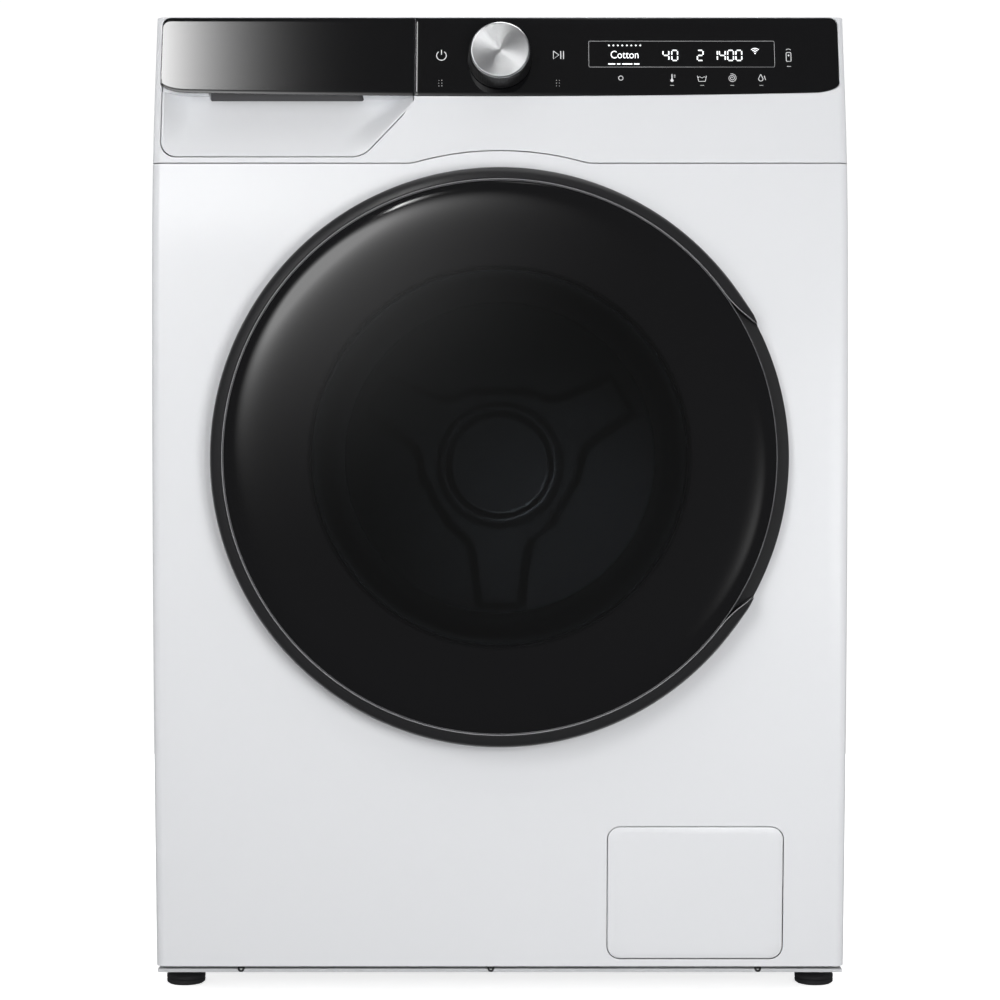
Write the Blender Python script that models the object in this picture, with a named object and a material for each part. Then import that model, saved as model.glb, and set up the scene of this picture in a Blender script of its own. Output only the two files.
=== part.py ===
"""Front load washing machine, modelled as the appliance comes apart on a bench.

Metres, +Z up. The front faces -Y, and the origin is on the floor under the middle of the whole
machine, door included. Every piece is one closed solid, and pieces that touch keep a gap of FIT.
"""

import math

import bmesh
import bpy
from mathutils import Matrix, Vector

# ---------------------------------------------------------------------------- driving dimensions
WIDTH = 0.600
HEIGHT = 0.850
BODY_DEPTH = 0.600  # most forward point of the painted front to the rearmost point
DOOR_PROUD = 0.034  # door glass in front of the painted front

FIT = 0.0003  # gap between pieces that touch
SEAM = 0.0009  # visible seam between outer panels
BOUNCE = 0.008  # travel of the tub on its springs, up or down
PIVOT_PLAY = 0.0003  # radial play of pins and shafts in their bores

# painted case
SHEET = 0.0012
FASCIA_WALL = 0.005
EDGE_RADIUS = 0.008
RETURN_DEPTH = 0.052  # the front corners wrap back this far from the most forward point
SKIRT_Z = 0.022  # lower edge of the front panel
BASE_Z = 0.0165  # underside of the base pan
BASE_THICK = 0.003
TOP_THICK = 0.022
SEAM_DROP = 0.1313  # from the top down to the seam between fascia and front panel
SKIRT_BACK = 0.0288  # how far the lower front falls back at its lower edge
CROWN_DROP = 0.270  # from the top down to where the lower crown begins
SHOULDER_DROP = 0.210  # from the top down to where the front starts leaning back
TILT_DROP = 0.060  # from the top down to where the lean becomes straight
TILT = math.radians(13.3)

# black control strip, dial and drawer
STRIP_INSET = 0.006  # white left at each end of the strip
STRIP_DROP = 0.0714  # from the top down to the strip's lower edge at the middle
STRIP_RISE = 0.0028  # how much higher that edge is near the ends
STRIP_CLEAR = 0.0008  # white left over the strip
STRIP_THICK = 0.003
STRIP_CORNER = 0.007
STRIP_ROUND_W = 0.024
STRIP_ROUND_H = 0.0086
DRAWER_WIDTH = 0.2197
SCOOP_RISE = 0.006  # scoop's lower edge over the seam
SCOOP_DEPTH = 0.019
SCOOP_SIDE = 0.022  # width over which the scoop fades out at its ends
DRAWER_PLAY = 0.0008
DRAWER_REACH = 0.280  # length of the tray
WALL = 0.002  # plastic walls of tray and housing
RUNNER_PLAY = 0.0006
KNOB_DROP = 0.0384
KNOB_RADIUS = 0.0260
KNOB_PROUD = 0.021
SHAFT_RADIUS = 0.003

# door
DOOR_RADIUS = 0.247
ARCH_GAP = 0.0178  # from the door's rim to the arched seam above it
ARCH_RISE = 0.0111  # top of the arch over the straight seam
ARCH_FILLET = 0.030
DOOR_GAP = 0.0045  # from the door's back edge to the painted front
RING_WALL = 0.0035
GLASS_INSET = 0.012  # from the door's rim to the edge of its front glass
FRAME_INSET = 0.023
GRIP_ANGLE = math.radians(28.5)
HINGE_INSET = 0.009  # from the door's rim to its hinge axis
HINGE_AHEAD = 0.012  # hinge axis in front of the most forward point
PIN_RADIUS = 0.0025
KNUCKLE = 0.0045
EAR_Z = 0.032
APERTURE_INSET = 0.0785  # from the door's rim to the collar round the aperture
BOWL_PLAY = 0.0085  # from the collar to the bowl

# tub and drum
TUB_RADIUS = 0.262
TUB_FLANGE = 0.264
TUB_WALL = 0.005
TUB_SET_BACK = 0.047  # tub front behind the most forward point
TUB_LENGTH = 0.405
TUB_SPLIT = 0.150
DRUM_RADIUS = 0.2425
DRUM_SHEET = 0.0015
LIFTER_HEIGHT = 0.050
AXLE_RADIUS = 0.015
PULLEY_RADIUS = 0.150
MOTOR_RADIUS = 0.052
MOTOR_DROP = 0.010
MOTOR_PULLEY = 0.0115
BELT_THICK = 0.003
SPRING_RADIUS = 0.010
SPRING_WIRE = 0.0017
SPRING_TURNS = 7
DAMPER_X = 0.150
ROD_RADIUS = 0.006
ROD_PLAY = 0.0006

# service flap, pump and feet
FLAP_WIDTH = 0.1522
FLAP_HEIGHT = 0.116
FLAP_SIDE = 0.0544  # flap's right edge from the machine's side
FLAP_Z = 0.029
FLAP_CORNER = 0.011
FLAP_THICK = 0.0025
PUMP_RADIUS = 0.040
FOOT_RADIUS = 0.017
FOOT_SIDE = 0.021  # foot centre from the machine's side
FOOT_FRONT = 0.069  # front feet behind the most forward point
FOOT_BACK = 0.045
STUD_RADIUS = 0.005

# ------------------------------------------------------------------------- places worked out
HALF = WIDTH / 2
Y_REAR = (BODY_DEPTH + DOOR_PROUD) / 2
Y_APEX = Y_REAR - BODY_DEPTH
Y_DOOR = Y_APEX - DOOR_PROUD
Y_RETURN = Y_APEX + RETURN_DEPTH
Y_BACK = Y_REAR - 0.012  # outer face of the rear panel
Z_SEAM = HEIGHT - SEAM_DROP
CROWN_RADIUS = (HEIGHT - CROWN_DROP - SKIRT_Z) ** 2 / (2 * SKIRT_BACK)
ARCH_RADIUS = DOOR_RADIUS + ARCH_GAP
APERTURE = DOOR_RADIUS - APERTURE_INSET
BOWL_RADIUS = APERTURE - BOWL_PLAY
NECK_RADIUS = APERTURE + 0.0085
DRUM_MOUTH = NECK_RADIUS - 0.019
DOOR_Z = Z_SEAM + ARCH_RISE - ARCH_RADIUS
DRAWER_LEFT = -HALF + STRIP_INSET
DRAWER_RIGHT = DRAWER_LEFT + DRAWER_WIDTH
STRIP_Z = HEIGHT - STRIP_DROP
STRIP_TOP = HEIGHT - STRIP_CLEAR
Y_TUB = Y_APEX + TUB_SET_BACK
Y_TUB_BACK = Y_TUB + TUB_LENGTH
MOTOR_Z = DOOR_Z - TUB_RADIUS - MOTOR_DROP - MOTOR_RADIUS
HINGE_X = -(DOOR_RADIUS - HINGE_INSET)
HINGE_Y = Y_APEX - HINGE_AHEAD
FLAP_RIGHT = HALF - FLAP_SIDE
FLAP_LEFT = FLAP_RIGHT - FLAP_WIDTH
FLAP_TOP = FLAP_Z + FLAP_HEIGHT
FILTER_X = (FLAP_LEFT + FLAP_RIGHT) / 2
FILTER_Z = FLAP_Z + 0.052

SMOOTH_ANGLE = math.radians(32)
RIM_SIDES = 64  # sides of the door's round pieces
ROUND_SIDES = 40  # sides of the tub, drum, bowl and pulley


def front_y(z):
    """Depth of the painted front at height z: crowned below, flat, then leaning back at the top."""
    low, high, tilt = HEIGHT - CROWN_DROP, HEIGHT - SHOULDER_DROP, HEIGHT - TILT_DROP
    if z <= low:
        return Y_APEX + (low - z) ** 2 / (2 * CROWN_RADIUS)
    if z <= high:
        return Y_APEX
    radius = (tilt - high) / math.sin(TILT)
    if z <= tilt:
        return Y_APEX + radius - math.sqrt(radius**2 - (z - high) ** 2)
    return Y_APEX + radius * (1 - math.cos(TILT)) + (z - tilt) * math.tan(TILT)


def stations(low, high):
    """Heights between low and high where the facets of the front bend, the same for every piece."""
    step, arc_step = 0.060, 0.0250
    marks = [HEIGHT - CROWN_DROP - i * step for i in range(1, 20)]
    marks += [HEIGHT - CROWN_DROP]
    marks += [HEIGHT - SHOULDER_DROP + i * arc_step for i in range(7)]
    inside = sorted(z for z in marks if low + 0.0005 < z < high - 0.0005)
    return [low, *inside, high]


# ---------------------------------------------------------------------------- materials
def finish(name, colour, roughness, metallic=0.0, alpha=1.0):
    """A Principled material of one colour."""
    material = bpy.data.materials.new(name)
    material.use_nodes = True
    shader = material.node_tree.nodes["Principled BSDF"]
    shader.inputs["Base Color"].default_value = (*colour, 1.0)
    shader.inputs["Roughness"].default_value = roughness
    shader.inputs["Metallic"].default_value = metallic
    shader.inputs["Alpha"].default_value = alpha
    return material


for old in list(bpy.data.objects):
    bpy.data.objects.remove(old, do_unlink=True)

WHITE = finish("white paint", (0.82, 0.83, 0.84), 0.32)
WHITE_PLASTIC = finish("white plastic", (0.80, 0.81, 0.82), 0.38)
PALE_GREY = finish("pale grey plastic", (0.60, 0.61, 0.62), 0.45)
BLACK_GLOSS = finish("black gloss", (0.010, 0.010, 0.012), 0.12)
BLACK_SATIN = finish("black satin plastic", (0.018, 0.018, 0.020), 0.35)
DARK_GLASS = finish("dark glass", (0.012, 0.013, 0.015), 0.05, alpha=0.6)
CLEAR_GLASS = finish("clear glass", (0.75, 0.80, 0.80), 0.04, alpha=0.35)
ALUMINIUM = finish("spun aluminium", (0.78, 0.79, 0.80), 0.28, 1.0)
STAINLESS = finish("stainless steel", (0.62, 0.62, 0.63), 0.25, 1.0)
GALVANISED = finish("galvanised steel", (0.50, 0.51, 0.52), 0.42, 1.0)
CAST = finish("cast aluminium", (0.55, 0.55, 0.56), 0.55, 1.0)
CONCRETE = finish("cast concrete", (0.42, 0.41, 0.39), 0.90)
GREY_RUBBER = finish("grey rubber", (0.28, 0.29, 0.30), 0.65)
BLACK_RUBBER = finish("black rubber", (0.025, 0.025, 0.025), 0.75)
TUB_PLASTIC = finish("tub plastic", (0.55, 0.56, 0.58), 0.50)
CIRCUIT = finish("circuit board", (0.03, 0.16, 0.08), 0.50)
BLUE_PLASTIC = finish("blue plastic", (0.10, 0.32, 0.62), 0.40)


# ---------------------------------------------------------------------------- modelling helpers
def solid(name, bm, material):
    """Puts a closed bmesh into the scene as one smooth-shaded object."""
    bmesh.ops.recalc_face_normals(bm, faces=bm.faces[:])
    mesh = bpy.data.meshes.new(name)
    bm.to_mesh(mesh)
    bm.free()
    mesh.materials.append(material)
    mesh.shade_smooth()
    mesh.set_sharp_from_angle(angle=SMOOTH_ANGLE)
    made = bpy.data.objects.new(name, mesh)
    bpy.context.scene.collection.objects.link(made)
    return made


def block(name, material, x, y, z):
    """Rectangular block; x, y and z are each a (low, high) pair."""
    bm = bmesh.new()
    bmesh.ops.create_cube(bm, size=1.0)
    size = Vector((x[1] - x[0], y[1] - y[0], z[1] - z[0]))
    middle = Vector((sum(x) / 2, sum(y) / 2, sum(z) / 2))
    bmesh.ops.scale(bm, vec=size, verts=bm.verts[:])
    bmesh.ops.translate(bm, vec=middle, verts=bm.verts[:])
    return solid(name, bm, material)


def prism(name, material, outline, low, high, axis="Y"):
    """Outline pushed straight along an axis. Its points are the two other coordinates, in order."""
    spots = {
        "X": lambda a, b: (low, a, b),
        "Y": lambda a, b: (a, low, b),
        "Z": lambda a, b: (a, b, low),
    }
    push = {"X": (1, 0, 0), "Y": (0, 1, 0), "Z": (0, 0, 1)}[axis]
    bm = bmesh.new()
    face = bm.faces.new([bm.verts.new(spots[axis](a, b)) for a, b in outline])
    moved = bmesh.ops.extrude_face_region(bm, geom=[face])["geom"]
    lifted = [v for v in moved if isinstance(v, bmesh.types.BMVert)]
    bmesh.ops.translate(bm, vec=Vector(push) * (high - low), verts=lifted)
    return solid(name, bm, material)


def turned(name, material, profile, place, segments=ROUND_SIDES):
    """Solid of revolution. The profile lists (radius, distance along the axis) round the section.

    A profile that starts and ends at radius 0 is left open there; any other one closes on itself.
    """
    bm = bmesh.new()
    verts = [bm.verts.new((radius, 0, along)) for radius, along in profile]
    edges = [bm.edges.new(pair) for pair in zip(verts, verts[1:])]
    if profile[0][0] > 0 or profile[-1][0] > 0:
        edges.append(bm.edges.new((verts[-1], verts[0])))
    bmesh.ops.spin(
        bm,
        geom=verts + edges,
        cent=(0, 0, 0),
        axis=(0, 0, 1),
        angle=2 * math.pi,
        steps=segments,
        use_merge=True,
    )
    bmesh.ops.remove_doubles(bm, verts=bm.verts[:], dist=1e-6)
    bmesh.ops.transform(bm, matrix=place, verts=bm.verts[:])
    return solid(name, bm, material)


def along_y(x, z):
    """Place of a turned piece whose axis runs along Y."""
    return Matrix.Translation((x, 0, z)) @ Matrix.Rotation(-math.pi / 2, 4, "X")


def along_z(x, y):
    """Place of a turned piece whose axis runs along Z."""
    return Matrix.Translation((x, y, 0))


def tool_of(made):
    """Hides a helper solid, so that only its effect is left."""
    made.hide_render = True
    made.display_type = "WIRE"
    return made


def boolean(target, other, operation):
    modifier = target.modifiers.new(operation.lower(), "BOOLEAN")
    modifier.operation = operation
    modifier.solver = "EXACT"
    modifier.object = tool_of(other)
    return target


def cut(target, *tools):
    """Takes each tool away from the target."""
    for tool in tools:
        boolean(target, tool, "DIFFERENCE")
    return target


def join(target, *others):
    """Unites the target with each other solid."""
    for other in others:
        boolean(target, other, "UNION")
    return target


def keep(target, tool):
    """Leaves only what lies inside the tool."""
    return boolean(target, tool, "INTERSECT")


def pivot(name, location, parent=None):
    """Empty on a joint's axis, which carries the moving pieces."""
    empty = bpy.data.objects.new(name, None)
    empty.empty_display_size = 0.05
    bpy.context.scene.collection.objects.link(empty)
    empty.location = location
    if parent:
        empty.parent = parent
        empty.location = Vector(location) - parent.location
    return empty


def carry(empty, *pieces):
    """Parents pieces to an empty and leaves them where they are."""
    origin = Vector(empty.location)
    above = empty.parent
    while above:
        origin += above.location
        above = above.parent
    for piece in pieces:
        piece.parent = empty
        piece.matrix_parent_inverse = Matrix.Translation(-origin)


def arc(centre, radius, start, end, count):
    """Points on an arc from one angle to another, both ends included."""
    angles = [start + (end - start) * i / count for i in range(count + 1)]
    return [(centre[0] + radius * math.cos(a), centre[1] + radius * math.sin(a)) for a in angles]


def rounded(corners, count=4):
    """Outline with its corners rounded. Each corner is (a, b, radius)."""
    points = []
    for i, (a, b, radius) in enumerate(corners):
        here = Vector((a, b))
        if radius == 0:
            points.append((a, b))
            continue
        before = (Vector(corners[i - 1][:2]) - here).normalized()
        after = (Vector(corners[(i + 1) % len(corners)][:2]) - here).normalized()
        half = before.angle(after) / 2
        centre = here + (before + after).normalized() * (radius / math.sin(half))
        start = here + before * (radius / math.tan(half)) - centre
        end = here + after * (radius / math.tan(half)) - centre
        turn = start.angle_signed(end)
        for k in range(count + 1):
            spoke = start.copy()
            spoke.rotate(Matrix.Rotation(-turn * k / count, 2))
            points.append(tuple(centre + spoke))
    return points


def rounded_rectangle(x, z, radius, grow=0.0, count=4):
    x0, x1, z0, z1 = x[0] - grow, x[1] + grow, z[0] - grow, z[1] + grow
    r = radius + grow
    return rounded([(x0, z0, r), (x1, z0, r), (x1, z1, r), (x0, z1, r)], count)


def bent_block(name, material, x, z, near, far=None, back=None):
    """Block whose front, near, follows the painted front; its back follows it at far, or is flat."""
    heights = stations(*z)
    front = [(front_y(h) + near, h) for h in heights]
    if far is not None:
        rear = [(front_y(h) + far, h) for h in reversed(heights)]
    else:
        rear = [(back, z[1]), (back, z[0])]
    return prism(name, material, front + rear, x[0], x[1], "X")


def wrapped_shell(name, material, z, thickness):
    """Front wall that follows the painted front and wraps back round both vertical corners."""
    corner_steps = 5

    def section(height, inset):
        y = front_y(height) + inset
        half, radius = HALF - inset, EDGE_RADIUS - min(inset, EDGE_RADIUS * 0.8)
        left = arc((-half + radius, y + radius), radius, math.pi, 1.5 * math.pi, corner_steps)
        line = [(-half, Y_RETURN), *left]
        return line + [(-x, depth) for x, depth in reversed(line)]

    bm = bmesh.new()
    rings = []
    for height in stations(*z):
        outline = section(height, 0.0) + section(height, thickness)[::-1]
        rings.append([bm.verts.new((x, y, height)) for x, y in outline])
    count = len(rings[0])
    for low, high in zip(rings, rings[1:]):
        for i in range(count):
            j = (i + 1) % count
            bm.faces.new((low[i], low[j], high[j], high[i]))
    for ring in (rings[0], rings[-1]):
        for i in range(count // 2 - 1):
            j = count - 1 - i
            bm.faces.new((ring[i], ring[i + 1], ring[j - 1], ring[j]))
    return solid(name, bm, material)


def chord_radius(radius, segments):
    """Radius of a many-sided bore whose flats stay outside a round of the given radius."""
    return radius / math.cos(math.pi / segments)


# ---------------------------------------------------------------------------- shared outlines
def seam_line(offset):
    """Seam between fascia and front panel, left to right: straight, then arched over the door."""
    level, radius, fillet = Z_SEAM + offset, ARCH_RADIUS + offset, ARCH_FILLET - offset
    rise = level + fillet - DOOR_Z
    x = math.sqrt((radius + fillet) ** 2 - rise**2)
    lean = math.atan2(rise, x)
    left = arc((-x, level + fillet), fillet, -math.pi / 2, -lean, 3)
    arch = arc((0, DOOR_Z), radius, math.pi - lean, lean, 10)[1:-1]
    right = [(-a, b) for a, b in reversed(left)]
    return [(-HALF - 0.02, level), *left, *arch, *right, (HALF + 0.02, level)]


def strip_edge(x):
    """Height of the control strip's lower edge."""
    return STRIP_Z + STRIP_RISE * (x / (HALF - 0.040)) ** 2


def strip_outline(left, right, round_left, round_right, grow=0.0):
    """Stretch of the control strip, with its outer ends rounded where asked."""
    points = []
    x0, x1, top = left - grow, right + grow, STRIP_TOP + grow
    inner_left = x0 + (STRIP_ROUND_W if round_left else 0)
    inner_right = x1 - (STRIP_ROUND_W if round_right else 0)
    if round_left:
        for k in range(5):
            a = math.pi / 2 * k / 5
            x = inner_left - STRIP_ROUND_W * math.cos(a)
            z = strip_edge(inner_left) - grow + STRIP_ROUND_H * (1 - math.sin(a))
            points.append((x, z))
    count = 6
    for k in range(count + 1):
        x = inner_left + (inner_right - inner_left) * k / count
        points.append((x, strip_edge(x) - grow))
    if round_right:
        for k in range(4, -1, -1):
            a = math.pi / 2 * k / 5
            x = inner_right + STRIP_ROUND_W * math.cos(a)
            z = strip_edge(inner_right) - grow + STRIP_ROUND_H * (1 - math.sin(a))
            points.append((x, z))
    r = STRIP_CORNER
    if round_right:
        points += arc((x1 - r, top - r), r, 0, math.pi / 2, 4)
    else:
        points.append((x1, top))
    if round_left:
        points += arc((x0 + r, top - r), r, math.pi / 2, math.pi, 4)
    else:
        points.append((x0, top))
    return points


def drawer_outline(grow=0.0):
    """Outline of the drawer's front under and behind its black lip, with the slanted right side."""
    left, right = DRAWER_LEFT + 0.0017 - grow, DRAWER_RIGHT - 0.0007 + grow
    low, top = Z_SEAM + SCOOP_RISE - grow, STRIP_TOP - 0.004 + grow
    slant = 1.073  # rise over run of the slanted side
    knee_x = DRAWER_RIGHT - 0.0443 + grow * 0.5
    knee_top = low + (right - knee_x) * slant
    return rounded(
        [(left, low, 0.0135), (knee_x, low, 0.022), (right, knee_top, 0.006), (right, top, 0.003), (left, top, 0.003)]
    )


# ---------------------------------------------------------------------------- painted case
def make_front_panel():
    """Crowned sheet with wrapped corners, door aperture, flap opening and slots for the hinge and lock."""
    panel = wrapped_shell("front_panel", WHITE, (SKIRT_Z, Z_SEAM + 0.020), SHEET)
    above = seam_line(-SEAM / 2) + [(HALF + 0.02, HEIGHT), (-HALF - 0.02, HEIGHT)]
    cut(panel, prism("tool_above_seam", WHITE, above, Y_APEX - 0.05, Y_REAR))
    hole = arc((0, DOOR_Z), APERTURE + 0.001, 0, 2 * math.pi, RIM_SIDES)[:-1]
    cut(panel, prism("tool_aperture", WHITE, hole, Y_APEX - 0.05, Y_APEX + 0.05))
    collar_profile = [
        (APERTURE, Y_APEX - 0.004),
        (APERTURE + 0.002, Y_APEX - 0.004),
        (APERTURE + 0.002, Y_APEX + 0.021),
        (APERTURE, Y_APEX + 0.021),
    ]
    collar = turned("tool_collar", WHITE, collar_profile, along_y(0, DOOR_Z), RIM_SIDES)
    reach = DOOR_RADIUS
    air = bent_block("tool_air", WHITE, (-reach, reach), (DOOR_Z - reach, DOOR_Z + reach), -0.03, SHEET / 2)
    cut(collar, air)
    join(panel, collar)
    opening = rounded_rectangle((FLAP_LEFT, FLAP_RIGHT), (FLAP_Z, FLAP_TOP), FLAP_CORNER, 0.0007)
    cut(panel, prism("tool_flap_opening", WHITE, opening, Y_APEX - 0.01, Y_RETURN))
    for side in (-1, 1):
        z = DOOR_Z + side * EAR_Z
        slot = block("tool_ear_slot", WHITE, (HINGE_X - 0.001, HINGE_X + 0.021), (Y_APEX - 0.02, Y_APEX + 0.02), (z - 0.003, z + 0.003))
        cut(panel, slot)
    hook_x = latch_x()
    slot = block("tool_hook_slot", WHITE, (hook_x - 0.007, hook_x + 0.009), (Y_APEX - 0.02, Y_APEX + 0.02), (DOOR_Z - 0.018, DOOR_Z + 0.018))
    cut(panel, slot)
    return panel


def latch_x():
    """Middle of the door's latch hook."""
    return DOOR_RADIUS - FRAME_INSET - 0.020


def make_fascia():
    """White frame round the control strip, open at the left for the drawer."""
    fascia = wrapped_shell("control_fascia", WHITE_PLASTIC, (Z_SEAM - 0.020, HEIGHT), FASCIA_WALL)
    lid = block(
        "tool_fascia_top",
        WHITE_PLASTIC,
        (-HALF + 0.002, HALF - 0.002),
        (front_y(HEIGHT) + 0.0025, Y_RETURN - 0.0005),
        (HEIGHT - 0.0045, HEIGHT - 0.0005),
    )
    join(fascia, lid)
    below = seam_line(SEAM / 2) + [(HALF + 0.02, Z_SEAM - 0.1), (-HALF - 0.02, Z_SEAM - 0.1)]
    cut(fascia, prism("tool_below_seam", WHITE, below, Y_APEX - 0.05, Y_REAR))
    recess = bent_block("tool_recess", WHITE, (-HALF, HALF), (STRIP_Z - 0.02, HEIGHT + 0.01), -0.01, STRIP_THICK + FIT)
    outline = strip_outline(DRAWER_LEFT, -DRAWER_LEFT, True, True, FIT + 0.0002)
    outline = [(x, z + 0.02 if z > STRIP_TOP - STRIP_CORNER - 0.0001 else z) for x, z in outline]
    keep(recess, prism("tool_recess_outline", WHITE, outline, Y_APEX - 0.05, Y_RETURN))
    cut(fascia, recess)
    cut(fascia, prism("tool_drawer_opening", WHITE, drawer_outline(DRAWER_PLAY), Y_APEX - 0.05, Y_RETURN + 0.01))
    hole = turned("tool_shaft_hole", WHITE, [(0, -0.02), (0.0045, -0.02), (0.0045, 0.02), (0, 0.02)], knob_place(), 20)
    return cut(fascia, hole)


def make_case():
    """Sides, back, worktop, base and the frame that ties them together at the top."""
    low = BASE_Z + 0.0005
    made = []
    for name, side in (("side_panel_left", -1), ("side_panel_right", 1)):
        x = sorted((side * HALF, side * (HALF - SHEET)))
        made.append(block(name, WHITE, x, (Y_RETURN + FIT, Y_BACK), (low, HEIGHT - TOP_THICK - FIT)))
    top = block("top_cover", WHITE, (-HALF, HALF), (Y_RETURN + FIT, Y_BACK), (HEIGHT - TOP_THICK, HEIGHT))
    bevel = top.modifiers.new("edges", "BEVEL")
    bevel.width, bevel.segments, bevel.limit_method = 0.003, 2, "ANGLE"
    made.append(top)
    made += [make_rear_panel(), make_rear_cover(), make_base(), make_top_frame()]
    return made


def make_rear_panel():
    """Galvanised back with its service opening and holes for the services."""
    inner = HALF - SHEET - FIT
    low, high = BASE_Z + BASE_THICK + FIT, HEIGHT - TOP_THICK - FIT
    panel = block("rear_panel", GALVANISED, (-inner, inner), (Y_BACK - SHEET, Y_BACK), (low, high))
    opening = rounded_rectangle((-0.170, 0.170), (DOOR_Z - 0.190, DOOR_Z + 0.190), 0.040)
    cut(panel, prism("tool_service_opening", WHITE, opening, Y_BACK - 0.05, Y_REAR + 0.05))
    for spot in service_spots().values():
        hole = arc(spot[:2], spot[2] + FIT, 0, 2 * math.pi, 24)[:-1]
        cut(panel, prism("tool_service_hole", WHITE, hole, Y_BACK - 0.05, Y_REAR + 0.05))
    return panel


def service_spots():
    """(x, z, radius) of what passes through the rear panel."""
    return {
        "inlet": (-HALF + 0.090, HEIGHT - 0.066, 0.0125),
        "gland": (HALF - 0.065, HEIGHT - 0.150, 0.0090),
        "drain": (-HALF + 0.065, DOOR_Z - 0.260, 0.0115),
    }


def make_rear_cover():
    """Shallow pan screwed over the service opening."""
    x, z = (-0.185, 0.185), (DOOR_Z - 0.205, DOOR_Z + 0.205)
    outer = rounded_rectangle(x, z, 0.050)
    cover = prism("rear_cover", GALVANISED, outer, Y_BACK + FIT, Y_REAR)
    inner = rounded_rectangle((x[0] + 0.012, x[1] - 0.012), (z[0] + 0.012, z[1] - 0.012), 0.040)
    return cut(cover, prism("tool_cover_hollow", WHITE, inner, Y_BACK - 0.01, Y_REAR - SHEET))


def make_base():
    """Base pan with a threaded boss over each foot and a seat under each damper and the pump."""
    inner = HALF - SHEET - FIT
    top = BASE_Z + BASE_THICK
    base = block("base_pan", PALE_GREY, (-inner, inner), (front_y(SKIRT_Z) + 0.002, Y_BACK - 0.0005), (BASE_Z, top))
    for x, y in foot_spots().values():
        boss = [(0, BASE_Z + 0.001), (0.0125, BASE_Z + 0.001), (0.0125, BASE_Z + 0.0235), (0, BASE_Z + 0.0235)]
        join(base, turned("tool_foot_boss", WHITE, boss, along_z(x, y), 16))
    for x, y in foot_spots().values():
        hole = [(0, BASE_Z - 0.01), (STUD_RADIUS + 0.0006, BASE_Z - 0.01), (STUD_RADIUS + 0.0006, BASE_Z + 0.03), (0, BASE_Z + 0.03)]
        cut(base, turned("tool_foot_hole", WHITE, hole, along_z(x, y), 16))
    return base


def make_top_frame():
    """Two cross rails joined lengthwise: the front one holds the dispenser, the rear one the springs."""
    inner = HALF - SHEET - FIT
    z = (HEIGHT - TOP_THICK - FIT - 0.0207, HEIGHT - TOP_THICK - FIT)
    front = block("top_frame", GALVANISED, (-inner, inner), (Y_APEX + 0.068, Y_APEX + 0.098), z)
    spring_y = spring_spot()[1]
    rear = block("tool_rear_rail", WHITE, (-inner, inner), (spring_y - 0.015, spring_y + 0.015), z)
    link = block("tool_link", WHITE, (-0.010, 0.010), (Y_APEX + 0.070, spring_y), (z[0] + 0.001, z[1] - 0.001))
    return join(front, link, rear)


# ---------------------------------------------------------------------------- controls
def knob_place():
    """Place of the dial: on the leaning face, with its axis square to it."""
    z = HEIGHT - KNOB_DROP
    return Matrix.Translation((0, front_y(z), z)) @ Matrix.Rotation(math.pi / 2 - TILT, 4, "X")


def make_controls():
    """Black control panel, the dial with its encoder, and the circuit board behind."""
    right = -DRAWER_LEFT
    left = DRAWER_RIGHT + SEAM
    glass = bent_block("control_glass", BLACK_GLOSS, (left - 0.01, right + 0.01), (STRIP_Z - 0.01, HEIGHT), 0.0, STRIP_THICK)
    outline = strip_outline(left, right, False, True)
    keep(glass, prism("tool_glass_outline", WHITE, outline, Y_APEX - 0.05, Y_RETURN))
    hole = [(0, -0.02), (0.0045, -0.02), (0.0045, 0.02), (0, 0.02)]
    cut(glass, turned("tool_glass_hole", WHITE, hole, knob_place(), 20))

    behind = FASCIA_WALL + FIT
    board = bent_block("control_board", CIRCUIT, (DRAWER_RIGHT + 0.018, right - 0.010), (STRIP_Z + 0.010, HEIGHT - 0.012), behind, behind + 0.002)
    cut(board, turned("tool_board_hole", WHITE, hole, knob_place(), 20))

    tip = 0.0120
    encoder = [
        (0, -behind - 0.0145),
        (0.010, -behind - 0.0145),
        (0.010, -behind - 0.0028),
        (SHAFT_RADIUS, -behind - 0.0028),
        (SHAFT_RADIUS, tip),
        (0, tip),
    ]
    turned("rotary_encoder", GALVANISED, encoder, knob_place(), 24)

    bore = SHAFT_RADIUS + PIVOT_PLAY
    skirt = [
        (bore, 0.0008),
        (KNOB_RADIUS + 0.0017, 0.0008),
        (KNOB_RADIUS + 0.0012, 0.0060),
        (KNOB_RADIUS + 0.0004, KNOB_PROUD - 0.0035),
        (KNOB_RADIUS, KNOB_PROUD - 0.0024),
        (0, KNOB_PROUD - 0.0024),
        (0, tip + FIT),
        (bore, tip + FIT),
    ]
    # the section starts and ends off the axis, so it is listed from the axis round to the axis
    skirt = skirt[5:6] + skirt[4::-1] + skirt[:5:-1]
    knob_skirt = turned("knob_skirt", BLACK_SATIN, skirt, knob_place(), 48)
    cap = [
        (0, KNOB_PROUD - 0.0021),
        (KNOB_RADIUS - 0.0002, KNOB_PROUD - 0.0021),
        (KNOB_RADIUS - 0.0002, KNOB_PROUD - 0.0012),
        (KNOB_RADIUS - 0.0016, KNOB_PROUD),
        (0, KNOB_PROUD),
    ]
    knob_cap = turned("knob_cap", ALUMINIUM, cap, knob_place(), 48)
    carry(pivot("knob_axis", knob_place().translation), knob_skirt, knob_cap)


# ---------------------------------------------------------------------------- detergent drawer
def housing_floor():
    """Underside of the dispenser housing, just clear of the tub at the top of its travel."""
    reach = DRAWER_RIGHT - 0.0012
    over = math.sqrt(TUB_FLANGE**2 - reach**2) if abs(reach) < TUB_FLANGE else 0
    return DOOR_Z + over + BOUNCE + 0.001


def drawer_back():
    """Flat back of the drawer's front, where the tray starts."""
    return front_y(HEIGHT) + 0.0113


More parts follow.
